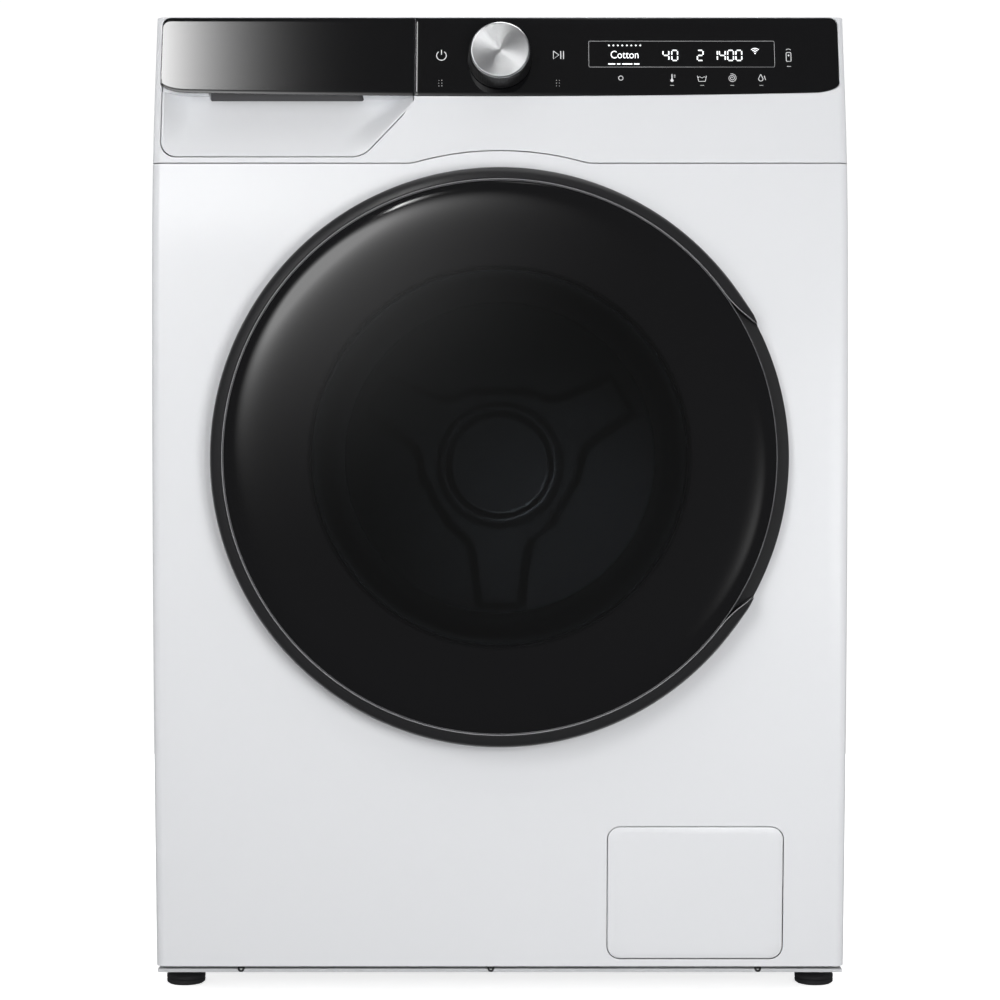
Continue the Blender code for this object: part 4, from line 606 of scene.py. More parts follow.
def strip_columns(left, right, round_left, round_right, count=120):
    """Columns that crowd together where an end is rounded."""
    ease = 1 - np.cos(np.linspace(0, math.pi / 2, 14))
    start = left + END_LONG * ease if round_left else np.array([left])
    end = (right - END_LONG * ease)[::-1] if round_right else np.array([right])
    return np.concatenate([start, np.linspace(start[-1], end[0], count)[1:-1], end])


CORNER = 0.0135  # round lower left corner of the drawer's front
SLANT, SLANT_WIDE, KNEE_R = 1.073, 0.0443, 0.022  # slanted right side: rise over run, width, knee


def drawer_sides(z, low, grow=0.0):
    """Left and right edge of the drawer's front at height z: a round corner, and a slant with its own."""
    left, right = DRAWER_LEFT + 0.0017 - grow, DRAWER_RIGHT - 0.0007 + grow
    t = np.clip(1 - (z - low) / CORNER, 0, 1)
    left = left + CORNER * (1 - np.sqrt(np.clip(1 - t**2, 0, 1)))
    slant = math.atan(SLANT)
    knee = DRAWER_RIGHT - SLANT_WIDE + 0.5 * grow
    reach = KNEE_R * math.tan(slant / 2)
    rise = reach * math.sin(slant)
    s = np.clip((z - low) / max(rise, 1e-9), 0, 1)
    bend = knee - reach + KNEE_R * np.sqrt(np.clip(1 - (1 - s * (1 - math.cos(slant))) ** 2, 0, 1))
    straight = knee + (z - low) / math.tan(slant)
    return left, np.minimum(np.where(z < low + rise, bend, straight), right)


# %% Fascia frame
SCOOP_LOW = SEAM_Z + 0.006
DRAWER_GAP = 0.0008  # between the drawer and the fascia
heights = np.linspace(SEAM_Z - 0.014, HEIGHT, 46)
fascia = piece("fascia_frame", slab(wrapped(heights, 0.0), wrapped(heights, 0.005)), WHITE_PLASTIC, None)
recess_x = strip_columns(DRAWER_LEFT - 0.0005, -DRAWER_LEFT + 0.0005, True, True)
recess_low = strip_low(recess_x, recess_x[0], recess_x[-1], True, True, 0.0005)
recess_high = strip_high(recess_x, recess_x[0], recess_x[-1], True, True, 0.0005)
rows = np.linspace(0, 1, 12)[:, None]
recess_z = recess_low + (recess_high - recess_low) * rows
recess = [stacked(recess_x, front_y(recess_z) + depth, recess_z) for depth in (-0.02, 0.0033)]
recess_tool = piece("cutter", slab(*recess), WHITE_PLASTIC, None)
z = np.concatenate([SCOOP_LOW - DRAWER_GAP + CORNER * (1 - np.cos(np.linspace(0, math.pi / 2, 12))),
                    [0.7600, 0.7750, 0.8455]])
left, right = drawer_sides(z, SCOOP_LOW - DRAWER_GAP, DRAWER_GAP)
opening = np.concatenate([np.stack([left, z], 1), np.stack([right, z], 1)[::-1]])
tools = [cutter(beyond(seam_line(SEAM_HALF), SEAM_Z - 0.1), Y_APEX - REACH, Y_APEX + 0.2), recess_tool]
tools.append(cutter(opening, Y_APEX - REACH, Y_RETURN + 0.01))
carve(fascia, tools)
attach(fascia, "cabinet")
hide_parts("control_fascia")

lid_x = np.linspace(-HALF + 0.0021, HALF - 0.0021, 40)[None, :]
lid_y = np.linspace(float(front_y(HEIGHT)) + 0.0042, Y_RETURN - 0.0005, 6)[:, None]
lid_top = stacked(lid_x, lid_y, HEIGHT - 0.0005)
lid_low = stacked(lid_x, lid_y, HEIGHT - 0.0045)
piece("fascia_lid", slab(lid_top, lid_low), WHITE_PLASTIC, "cabinet", bevel=0.0006)
print("fascia faces:", len(fascia.data.polygons))


# %% [markdown]
# ## The black strip
# The strip is a 3 mm gloss panel in two stretches with one outline: the fixed control panel on the right,
# and the drawer's lip on the left, which moves with the drawer. Its rows run between the two edges.

# %% Control panel and drawer lip
def strip_piece(name, left, right, round_left, round_right, body, replaced):
    """A stretch of the strip: rows between its edges, 3 mm thick, with softened edges."""
    x = strip_columns(left, right, round_left, round_right)[None, :]
    low = strip_low(x, left, right, round_left, round_right)
    high = strip_high(x, left, right, round_left, round_right)
    z = low + (high - low) * np.linspace(0, 1, 22)[:, None]
    walls = slab(stacked(x, front_y(z), z), stacked(x, front_y(z) + 0.003, z))
    return piece(name, walls, PANEL_GLASS, body, replaced, bevel=0.0005, sharp=30)


glass = strip_piece("control_strip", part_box("control_glass")[0].x, -DRAWER_LEFT, False, True, "cabinet",
                    "control_glass")
lip = strip_piece("drawer_lip_gloss", DRAWER_LEFT, DRAWER_RIGHT, True, False, "drawer", "drawer_lip")
print("strip faces:", len(glass.data.polygons) + len(lip.data.polygons))

# %% [markdown]
# ## Scooped drawer front
# Under the lip the drawer's front is a cove: flush at its lower edge and its ends, deepest under the lip,
# where a pocket takes the fingers. It is one height field: depth as a function of place on the front.

# %% Drawer front
COVE_DEEP = 0.019  # deepest point of the hand scoop
across = np.linspace(0, 1, 121)[None, :]
low_part = 0.30 * (1 - np.cos(np.linspace(0, math.pi / 2, 20)))
up_scoop = np.concatenate([low_part, np.linspace(0.30, 1.0, 30)])[:, None]
middle_x = DRAWER_LEFT + across * (DRAWER_RIGHT - DRAWER_LEFT)
edge_z = strip_edge(middle_x) - 0.0003
scoop_z = SCOOP_LOW + (edge_z - SCOOP_LOW) * up_scoop
left, right = drawer_sides(scoop_z, SCOOP_LOW)
scoop_x = left + (right - left) * across
over_slant = (scoop_z - SCOOP_LOW) - (scoop_x - (DRAWER_RIGHT - SLANT_WIDE)) * SLANT
slope_gap = over_slant / math.hypot(1, SLANT)
end_gap = np.clip(np.minimum(scoop_x - DRAWER_LEFT - 0.0032, slope_gap - 0.0015) / 0.022, 0, 1)
rise = (scoop_z - SCOOP_LOW) / (edge_z - SCOOP_LOW)
scoop_depth = COVE_DEEP * np.sin(math.pi / 2 * rise) * np.sin(math.pi / 2 * end_gap)
scoop_y = front_y(scoop_z) + scoop_depth
behind_z = np.concatenate([[0.0, 0.0], np.linspace(0.0, 1.0, 12)])[:, None]
wall_z = edge_z + (0.845 - edge_z) * behind_z
left, right = drawer_sides(np.full_like(wall_z, 0.80), SCOOP_LOW)
wall_x = left + (right - left) * across
first = np.arange(14)[:, None] == 0
wall_y = np.where(first, scoop_y[-1:], front_y(wall_z) + 0.0034)
front_face = stacked(np.vstack([scoop_x, wall_x]), np.vstack([scoop_y, wall_y]),
                     np.vstack([scoop_z, wall_z]))
rear_face = front_face.copy()
rear_face[..., 1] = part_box("drawer_front")[1].y
drawer = piece("drawer_cove", slab(front_face, rear_face), WHITE_PLASTIC, None)
pocket = rounded_rectangle((DRAWER_LEFT + 0.041, DRAWER_RIGHT - 0.0447),
                           (STRIP_Z - 0.0015, STRIP_Z + 0.025), 0.002)
strip_y = float(front_y(STRIP_Z))
carve(drawer, [cutter(pocket[:-1], strip_y + 0.0008, strip_y + 0.0225)])
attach(drawer, "drawer")
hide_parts("drawer_front")

# %% Grip liner and seam liner: painted shade in the pocket, a painted line in the seam
# Painted shade: a dark grey liner at the back of the finger pocket makes the slot under the lip look
# shaded.
x = np.linspace(DRAWER_LEFT + 0.0412, DRAWER_RIGHT - 0.0449, 60)[None, :]
z = np.linspace(STRIP_Z - 0.0013, STRIP_Z + 0.024, 12)[:, None]
deep = strip_y + 0.0221
bow = 0.0006 * np.cos(math.pi * (x - x.mean()) / (x.max() - x.min()))
walls = slab(stacked(x, deep - bow, z), stacked(x, deep + 0.0003, z))
piece("grip_shade_liner", walls, GRIP_SHADE_GREY, "drawer", bevel=0.0002)
# Painted seam line: a mid-grey sheet in the gap right of the drawer gives the seam the tone of its shade
# and its edge highlight.
z = np.linspace(STRIP_Z + 0.0006, STRIP_TOP - 0.0006, 20)[:, None]
x = np.linspace(DRAWER_RIGHT + 0.0002, DRAWER_RIGHT + 0.0008, 3)[None, :]
walls = slab(stacked(x, front_y(z) + 0.0020, z), stacked(x, front_y(z) + 0.0032, z))
piece("seam_painted_line", walls, PAINTED_HIGHLIGHT_GREY, "cabinet")
print("drawer front faces:", len(drawer.data.polygons), "deepest", round(float(scoop_depth.max()), 4))

# %% [markdown]
# ## Dial
# The dial stands square to the leaning panel. Its skirt is black with a fine knurl, and its cap is spun
# aluminium with a bright chamfer. Both are profiles turned about the leaning axis.

# %% Dial
KNOB_Z = HEIGHT - 0.0384
KNOB_AT = np.array([0.0, float(front_y(KNOB_Z)), KNOB_Z])
KNOB_OUT = np.array([0.0, -math.cos(LEAN), math.sin(LEAN)])
KNOB_UP = np.array([0.0, math.sin(LEAN), math.cos(LEAN)])


def dial(profile, sides, knurl=0.0, teeth=0):
    """Profile of (radius, height) turned about the dial's axis; a knurl makes the radius ripple."""
    ring = np.vstack([profile, profile[:1]])
    a = np.linspace(0, 2 * math.pi, sides + 1)[None, :, None]
    r = ring[:, :1, None] * np.ones_like(a)
    held = (ring[:, 1] > 0.004) & (ring[:, 1] < 0.0165) & (ring[:, 0] > 0.02)
    r = r + held[:, None, None] * knurl * np.cos(teeth * a)
    rise = ring[:, 1:2, None]
    return KNOB_AT + r * np.cos(a) * np.array([1.0, 0, 0]) + r * np.sin(a) * KNOB_UP + rise * KNOB_OUT


skirt = eased([(0.0033, 0.0008), (0.0277, 0.0008), (0.0274, 0.0040), (0.0270, 0.0090), (0.0266, 0.0160),
               (0.0260, 0.0186), (0.0033, 0.0186)], 0.0006)
piece("dial_skirt", [dial(skirt, 288, 0.00012, 72)], BLACK_SATIN, "knob", "knob_skirt",
      sharp=50)
r = np.linspace(0, 0.0243, 40)
top = np.stack([r, 0.0209 - 0.00025 * (1 - (r / 0.0243) ** 2)], 1)
cap = np.vstack([top, [(0.0247, 0.02085), (0.0258, 0.0196), (0.0259, 0.0193), (0.0259, 0.0189),
                       (0.0, 0.0189)]])
grid = dial(cap, 192)
chart = np.stack(np.broadcast_arrays(np.linspace(0, 1, 193)[None, :],
                                     np.append(cap[:, 0], 0)[:, None] / 0.026), -1)
piece("dial_cap", [grid], SPUN, "knob", "knob_cap", uv=[chart], sharp=25)
print("dial at", np.round(KNOB_AT, 4))

# %% [markdown]
# ## Door rim
# The rim is one moulding. Its section has a broad crest beside the glass and a wall running back to the
# crowned panel. On the right it gives way to a finger recess: the crest's inner edge moves outwards with a
# power of the angle until it meets the outer wall, so the lip ends in a slim tip over a deep floor.

# %% Rim outline
TIP_HIGH, TIP_LOW = math.radians(27.3), math.radians(-28.8)
TAPER = math.radians(9.3)
OUT = DOOR_R - 0.247
CREST_IN, CREST_TIP = 0.2358 + OUT, 0.2466 + OUT  # inner edge of the crest, on the left and at a tip
CREST_Y, GLASS_SIDE_Y, FLOOR_Y = -0.3118, -0.3092, -0.2935
angles = np.linspace(-math.pi, math.pi, 481)
outside = np.maximum(angles - TIP_HIGH, TIP_LOW - angles)
near_tip = np.clip(1 - outside / TAPER, 0, 1)
crest_r = CREST_IN + (CREST_TIP - CREST_IN) * near_tip**2.2
deep = 1 - step(TAPER, TAPER + math.radians(6), outside)
floor_y = GLASS_SIDE_Y + (FLOOR_Y - GLASS_SIDE_Y) * deep
lip_y = CREST_Y + (-0.3035 - CREST_Y) * step(0.75, 1.0, near_tip)
lip_y = np.where(outside < 0, floor_y, lip_y)


def rim_row(radius, depth):
    """One point of the section for every angle; both may change round the rim."""
    return np.stack(np.broadcast_arrays(radius + 0 * angles, depth + 0 * angles))


# %% Rim section
width = DOOR_R - crest_r
wall_back = front_y(DOOR_Z + DOOR_R * np.sin(angles)) - 0.0045
inner_r = 0.2353 + OUT - (0.2353 - 0.2290) * deep
section = [
    rim_row(0.2243 + OUT, GLASS_SIDE_Y + 0.0145 * deep), rim_row(inner_r, GLASS_SIDE_Y + 0.0145 * deep),
    rim_row(inner_r + 0.0003, floor_y), rim_row(crest_r - 0.0002, floor_y),
    rim_row(crest_r, lip_y + 0.0012 * (outside > 0)), rim_row(crest_r + 0.10 * width, lip_y),
    rim_row(crest_r + 0.30 * width, lip_y + 0.06 * width), rim_row(crest_r + 0.55 * width,
                                                                   lip_y + 0.15 * width),
    rim_row(crest_r + 0.75 * width, lip_y + 0.26 * width), rim_row(crest_r + 0.88 * width,
                                                                   lip_y + 0.40 * width),
    rim_row(crest_r + 0.96 * width, lip_y + 0.62 * width), rim_row(DOOR_R, lip_y + 0.90 * width),
    rim_row(DOOR_R, wall_back), rim_row(0.2435 + OUT, wall_back),
    rim_row(0.2435 + OUT, -0.3017 + 0.0128 * deep), rim_row(0.2243 + OUT, -0.3017 + 0.0128 * deep),
]
ring = np.array(section + section[:1])
rim_grid = stacked(ring[:, 0] * np.cos(angles), ring[:, 1], DOOR_Z + ring[:, 0] * np.sin(angles))
rim = piece("door_rim", [rim_grid], RIM_BLACK, None, sharp=24)
leaf_side = rounded_rectangle((-DOOR_R - 0.005, -DOOR_R + 0.009), (DOOR_Z - 0.040, DOOR_Z + 0.040), 0.002)
carve(rim, [cutter(leaf_side[:-1], -0.3005, -0.23)], sharp=24)
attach(rim, "door")
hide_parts("door_ring")
print("rim faces:", len(rim.data.polygons))


# %% Fine lines of the rim: painted highlights
def wire_ring(name, radius, depth, thick, turn, material, body):
    """Thin round bead whose radius and depth may change with the angle."""
    b = np.linspace(0, 2 * math.pi, 9)[:, None]
    r, y = radius + thick * np.cos(b), depth + thick * np.sin(b)
    grid = stacked(r * np.cos(turn), y, DOOR_Z + r * np.sin(turn))
    return piece(name, [grid], material, body, sharp=80)


# Painted highlight: a grey bead round the glass's edge stands in for the light that edge catches.
wire_ring("glass_edge_glint", 0.2348 + OUT + 0 * angles, -0.3100, 0.00045, angles, PAINTED_GLINT_GREY, "door")
# Painted highlight: a lighter grey bead along the crest's inner edge stands in for the light its chamfer
# catches.
start = int(np.argmax(angles > TIP_HIGH))
order = np.roll(np.arange(480), -start)
order = order[outside[order] > 0]
wire_ring("crest_highlight_bead", crest_r[order] - 0.0001, lip_y[order] + 0.0006, 0.00042, angles[order], PAINTED_HIGHLIGHT_GREY,
          "door")

# %% [markdown]
# ## Door glass, carrier and bowl
# The front glass is a shallow dome: a parabola over most of its width and a high power near the rim, which
# turns the edge round. Behind it a black carrier holds the pressed glass bowl.

# %% Door glass
u = np.sin(np.linspace(0, math.pi / 2, 72))
front_line = np.stack([GLASS_R * u, Y_DOOR + 0.0021 * u**2 + 0.0052 * u**26], 1)
w = np.array([1.0, 0.955, 0.93, 0.80, 0.60, 0.40, 0.20, 0.0])
rear_line = np.stack([GLASS_R * w, Y_DOOR + 0.0044 + 0.0031 * w**4], 1)
window = piece("front_glass", [turned(np.vstack([front_line, rear_line]), 0, DOOR_Z, 256)], DOOR_GLASS,
               "door", "door_window", sharp=50)

# %% Carrier
frame_line = [(0.160, -0.3089), (0.2238, -0.3089), (0.2238, -0.2900), (0.2190, -0.2900), (0.2175, -0.2915),
              (0.2095, -0.2915), (0.2080, -0.2900)]
frame_line += [(0.1860, -0.2900), (0.1845, -0.2912), (0.1815, -0.2912), (0.1800, -0.2900),
               (0.1727, -0.2900), (0.1727, -0.2990), (0.160, -0.2990)]
piece("door_carrier", [turned(eased(frame_line, 0.0007), 0, DOOR_Z, 192)], BLACK_SATIN, "door",
      "door_frame", sharp=45)

# %% Bowl
bowl = [(0.0, -0.2235), (0.060, -0.2237), (0.105, -0.2250), (0.126, -0.2275), (0.1375, -0.2360),
        (0.1435, -0.2480), (0.1452, -0.2560), (0.1480, -0.2660)]
bowl += [(0.1515, -0.2750), (0.1600, -0.2955), (0.1719, -0.2957), (0.1719, -0.2985), (0.1550, -0.2985),
         (0.1480, -0.2755), (0.1440, -0.2640)]
bowl += [(0.1413, -0.2550), (0.1340, -0.2400), (0.122, -0.2315), (0.100, -0.2285), (0.055, -0.2276),
         (0.0, -0.2275)]
outer = eased(bowl, 0.004, closed=False)
piece("glass_bowl", [turned(outer, 0, DOOR_Z, 192, closed=False)], BOWL_GLASS, "door",
      "door_bowl", sharp=50)
print("glass faces:", len(window.data.polygons))


# %% [markdown]
# ## Gasket
# The rubber bellows joins the still aperture to the moving tub. Its section has a lip that hugs
# the bowl, a fold, and a bead over the tub's neck.

# %% Gasket
gasket_line = [(0.1740, -0.2617), (0.1690, -0.2632), (0.1640, -0.2617), (0.1560, -0.2612),
               (0.1500, -0.2603), (0.1482, -0.2588), (0.1482, -0.2566)]
gasket_line += [(0.1500, -0.2558), (0.1600, -0.2574), (0.1622, -0.2550), (0.1615, -0.2520),
                (0.1632, -0.2490), (0.1622, -0.2468), (0.1680, -0.2448)]
gasket_line += [(0.1745, -0.2430), (0.1813, -0.2443), (0.1813, -0.2390), (0.1835, -0.2375),
                (0.1852, -0.2390), (0.1852, -0.2478), (0.1760, -0.2482)]
gasket_line += [(0.1672, -0.2490), (0.1662, -0.2510), (0.1672, -0.2540), (0.1665, -0.2565),
                (0.1740, -0.2568)]
gasket = piece("bellows", [turned(eased(gasket_line, 0.0016), 0, DOOR_Z, 160)], GREY_RUBBER, None,
               "door_gasket", sharp=60)
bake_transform(gasket)
print("gasket faces:", len(gasket.data.polygons))


# %% [markdown]
# ## Drum
# The drum is thin stainless steel. Its map runs in metres round and along it, so the holes keep their
# size. The back is a pressing with three broad arms and a hub: a height field in polar coordinates.

# %% Drum shell
shell_line = [(0.158, -0.2210), (0.1590, -0.2228), (0.1625, -0.2236), (0.200, -0.2215), (0.226, -0.2186),
              (0.2385, -0.2125), (0.2425, -0.2030), (0.2425, 0.126)]
shell_line += [(0.2410, 0.126), (0.2410, -0.2025), (0.2372, -0.2112), (0.2254, -0.2170), (0.1998, -0.2200),
               (0.1625, -0.2221), (0.1595, -0.2212)]
shell_line = np.array(shell_line)
cuts = np.concatenate([shell_line[:7], np.stack([np.full(30, 0.2425), np.linspace(-0.19, 0.126, 30)], 1)])
cuts = np.concatenate([cuts, np.stack([np.full(30, 0.2410), np.linspace(0.126, -0.19, 30)], 1),
                       shell_line[9:]])
grid = turned(cuts, 0, DOOR_Z, 192)
length = np.concatenate([[0], np.cumsum(np.linalg.norm(np.diff(np.vstack([cuts, cuts[:1]]), axis=0),
                                                       axis=1))])
chart = np.stack(np.broadcast_arrays(np.linspace(0, 2 * math.pi, 193)[None, :] * 0.24, length[:, None]), -1)
piece("drum_wall", [grid], PERFORATED, "drum", "drum_shell", uv=[chart], sharp=40)


# %% Drum back
def pressed_back(r, a):
    """Height of the pressing: three arms that narrow outwards from a raised hub ring, smoothly joined."""
    raised = 0.0 * r * a
    for arm in (30, 150, 270):
        turn = a - math.radians(arm)
        along, aside = r * np.cos(turn), r * np.sin(turn)
        half = 0.0225 + 0.0075 * step(0.150, 0.060, along) + 0.026 * step(0.098, 0.055, along) ** 2
        inside = step(0.0045, -0.0045, np.abs(aside) - half) * step(0.0, 0.02, along) * step(0.150, 0.142,
                                                                                             along)
        raised = np.maximum(raised, inside)
    raised = np.maximum(raised, step(0.080, 0.074, r))
    height = 0.0050 * raised + 0.0014 * step(0.066, 0.060, r) - 0.0035 * step(0.056, 0.050, r)
    height = height + 0.0018 * step(0.176, 0.182, r) * step(0.198, 0.192, r) + 0.0015 * step(0.226, 0.232,
                                                                                             r)
    return height


r = np.concatenate([np.linspace(0, 0.2400, 97), [0.2406]])[:, None]
a = np.linspace(0, 2 * math.pi, 289)[None, :]
face = stacked(r * np.cos(a), 0.1196 + 0.0015 - pressed_back(r, a), DOOR_Z + r * np.sin(a))
rear = stacked(r * np.cos(a), 0.1238 + 0 * a, DOOR_Z + r * np.sin(a))
chart = np.stack([face[..., 0], face[..., 2]], -1)
walls = [face, rear, np.stack([face[-1], rear[-1]])]
side_chart = np.stack([chart[-1], chart[-1]])
piece("drum_end", walls, DRUM_STEEL, "drum", "drum_back", uv=[chart, chart, side_chart],
      sharp=40)


# %% Lifters
def lifter(angle):
    """Paddle on the drum's wall: its height falls off towards the long sides and the ends."""
    y = np.linspace(-0.190, 0.100, 50)[:, None]
    side = np.linspace(-1, 1, 31)[None, :]
    ends = (1 - np.abs((y + 0.045) / 0.1451) ** 5) ** 0.5
    crown = (1 - np.abs(side * 0.999) ** 2.6) ** 0.62
    wave = 1 - 0.06 * np.cos(6 * math.pi * (y + 0.19) / 0.29)
    foot = 0.2378
    radial = foot - 0.0455 * ends * crown * wave
    spread = 0.0285 * side * (0.35 + 0.65 * ends)
    grids = []
    for distance in (radial, np.full_like(radial, foot)):
        x = distance * math.cos(angle) - spread * math.sin(angle)
        z = DOOR_Z + distance * math.sin(angle) + spread * math.cos(angle)
        grids.append(stacked(x, y, z))
    return slab(*grids)


for number, degrees in enumerate((90, 210, 330), 1):
    piece(f"paddle_{number}", lifter(math.radians(degrees)), TUB_PLASTIC, "drum",
          f"lifter_{number}", sharp=50)
print("drum dressed")


# %% [markdown]
# ## Worktop, sides and back
# These are large plain sheets, but real ones are pressed to stiffen them. The worktop is a board with a
# soft edge all round. Each side is a height field with a shallow pressed field, and so is the back.

# %% Worktop
def tower(x, y, radius, levels, corner=8):
    """Rounded rectangles stacked up, each (inset, z), closed by shrinking the first and last to a point."""
    rings = []
    for inset, z in levels:
        ring = rounded_rectangle(x, y, radius, inset, corner)
        rings.append(np.column_stack([ring, np.full(len(ring), z)]))
    grid = np.array(rings)
    centre = np.array([sum(x) / 2, sum(y) / 2])
    first, last = grid[0].copy(), grid[-1].copy()
    first[:, :2], last[:, :2] = centre, centre
    return np.concatenate([first[None], grid, last[None]])


top_low, top_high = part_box("top_cover")
z0, z1 = top_low.z, top_high.z
levels = [(0.004, z0), (0.0006, z0 + 0.0004), (0, z0 + 0.0014), (0, z1 - 0.0050), (0.0004, z1 - 0.0030),
          (0.0015, z1 - 0.0012), (0.0032, z1 - 0.0003), (0.0050, z1)]
piece("worktop", [tower((top_low.x, top_high.x), (top_low.y, top_high.y), 0.005, levels)], WHITE_LAMINATE,
      "cabinet", "top_cover", sharp=50)


# %% Side sheets
def side_sheet(sign):
    """Sheet at x = HALF with a pressed field 2 mm deep inside a soft frame."""
    low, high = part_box("side_panel_right")
    y = np.linspace(low.y, high.y, 90)[None, :]
    z = np.linspace(low.z, high.z, 110)[:, None]
    gap = np.minimum(np.minimum(y - low.y, high.y - y) - 0.055, np.minimum(z - low.z, high.z - z) - 0.075)
    gap = gap + 0 * y
    press = 0.0020 * step(0.0, 0.016, gap) - 0.0008 * step(0.10, 0.12, gap)
    outer = stacked(sign * (high.x - press), y, z)
    inner = stacked(sign * (high.x - press - 0.0011), y, z)
    return slab(outer, inner)


piece("side_sheet_left", side_sheet(-1), WHITE_PAINT, "cabinet", "side_panel_left", sharp=40)
piece("side_sheet_right", side_sheet(1), WHITE_PAINT, "cabinet", "side_panel_right",
      sharp=40)

# %% Back sheet and its cover
back_low, back_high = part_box("rear_panel")
x = np.linspace(back_low.x, back_high.x, 140)[None, :]
z = np.linspace(back_low.z, back_high.z, 180)[:, None]
away = np.maximum(np.abs(x) - 0.19, np.abs(z - DOOR_Z) - 0.21)
rib = step(0.010, 0.016, away) * step(0.034, 0.028, away)
level_rib = sum(step(0.008, 0.003, np.abs(z - at)) for at in (0.740, 0.775)) * step(0.150, 0.140, np.abs(x))
lower_rib = sum(step(0.008, 0.003, np.abs(z - at)) for at in (0.090, 0.125, 0.160)) * step(0.235, 0.225,
                                                                                           np.abs(x))
press = 0.0022 * np.clip(rib + level_rib + lower_rib, 0, 1)
outer = stacked(x, back_high.y + press, z)
inner = stacked(x, back_high.y + press - 0.0011, z)
piece("back_sheet", slab(outer, inner), ZINC, "cabinet", "rear_panel", sharp=40)

cover_low, cover_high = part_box("rear_cover")
levels = [(0.0, cover_low.y), (0.0, cover_high.y - 0.0040), (0.0008, cover_high.y - 0.0015),
          (0.0035, cover_high.y)]
levels += [(0.030, cover_high.y), (0.0335, cover_high.y - 0.0035), (0.080, cover_high.y - 0.0035),
           (0.0835, cover_high.y)]
pan = tower((cover_low.x, cover_high.x), (cover_low.z, cover_high.z), 0.050, levels, 12)
piece("back_cover", [pan[..., [0, 2, 1]]], ZINC, "cabinet", "rear_cover", sharp=40)
print("sheets dressed")


# %% [markdown]
# ## Service flap
# The flap is a white plate in a rounded opening. Rings of its outline shrink towards its middle, and each
# point takes its depth from the front line, so the flap is crowned like the panel round it.

# %% Flap
def crowned_plate(x, z, radius, levels, shrink):
    """Outline rings: the edge at the given insets and depths, then the face shrinking to its middle."""
    rings = []
    for inset, depth in levels:
        ring = rounded_rectangle(x, z, radius, inset, 10)
        rings.append(stacked(ring[:, 0], front_y(ring[:, 1]) + depth, ring[:, 1]))
    ring = rounded_rectangle(x, z, radius, levels[-1][0], 10)
    centre = np.array([sum(x) / 2, sum(z) / 2])
    for scale in shrink:
        flat = centre + (ring - centre) * scale
        rings.append(stacked(flat[:, 0], front_y(flat[:, 1]) + levels[-1][1], flat[:, 1]))
    ring = rounded_rectangle(x, z, radius, levels[0][0], 10)
    for scale in shrink:
        flat = centre + (ring - centre) * scale
        rings.insert(0, stacked(flat[:, 0], front_y(flat[:, 1]) + levels[0][1], flat[:, 1]))
    return np.array(rings)


edge = [(0.0004, 0.0025), (0.0, 0.0018), (0.0, 0.0009), (0.0003, 0.0003), (0.0009, 0.0)]
plate = crowned_plate(FLAP_X, FLAP_Z, 0.011, edge, (0.9, 0.75, 0.6, 0.45, 0.3, 0.15, 0.0))
piece("service_flap", [plate], WHITE_PAINT, "filter_cover", "filter_cover", sharp=40)


# %% [markdown]
# ## Feet, screws and springs
# A foot is a rubber pad with grooves, a hexagonal lock nut and a threaded stud. A hexagon is a circle
# whose radius is divided by the cosine of the angle to the nearest flat.

# %% Feet
def foot(node, body):
    """Pad, nut and stud as three turned surfaces in one piece."""
    low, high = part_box(node)
    x, y = (low.x + high.x) / 2, (low.y + high.y) / 2
    pad = [(0, 0), (0.0150, 0), (0.0168, 0.0014), (0.0170, 0.0038), (0.0163, 0.0046), (0.0170, 0.0054),
           (0.0170, 0.0078)]
    pad += [(0.0163, 0.0086), (0.0168, 0.0094), (0.0145, 0.0115), (0.0100, 0.0122), (0, 0.0122)]
    a = np.linspace(0, 2 * math.pi, 97)[None, :]
    nut_line = [(0, 0.0118), (0.0072, 0.0118), (0.0084, 0.0124), (0.0084, 0.0155), (0.0072, 0.0160),
                (0, 0.0160)]
    nut_r, nut_z = np.array(nut_line, float).T[:, :, None]
    flat = np.cos((a + math.pi / 6) % (math.pi / 3) - math.pi / 6)
    nut = stacked(x + nut_r / flat * np.cos(a) * 0.93, y + nut_r / flat * np.sin(a) * 0.93, nut_z)
    turns = np.linspace(0, 1, 60)
    stud_r = 0.0049 - 0.0005 * (0.5 + 0.5 * np.cos(2 * math.pi * turns * 14))
    stud = np.column_stack([stud_r, 0.0158 + turns * (high.z - 0.0158)])
    stud = np.vstack([[(0, 0.0158)], stud, [(0, high.z)]])
    return piece(node + "_pad", [upright(np.array(pad), x, y, 72), nut, upright(stud, x, y, 32)],
                 BLACK_RUBBER, body, node, sharp=35)


for node, body in (("foot_front_left", "foot_fl"), ("foot_front_right", "foot_fr"),
                   ("foot_rear_left", "foot_rl"), ("foot_rear_right", "foot_rr")):
    foot(node, body)


# %% Screws
def screws(name, spots, radius, direction, body, material):
    """Domed heads with a round socket, one turned surface for each spot, facing along y."""
    line = np.array([(0, -0.0014), (0.32, -0.0014), (0.36, 0.0), (0.70, -0.0001), (0.92, -0.0005),
                     (1.0, -0.0012), (1.0, -0.0022), (0, -0.0022)])
    line[:, 0] *= radius
    grids = []
    for x, y, z in spots:
        turn = line.copy()
        turn[:, 1] = y + direction * turn[:, 1]
        grids.append(turned(turn, x, z, 20))
    return piece(name, grids, material, body, sharp=40)


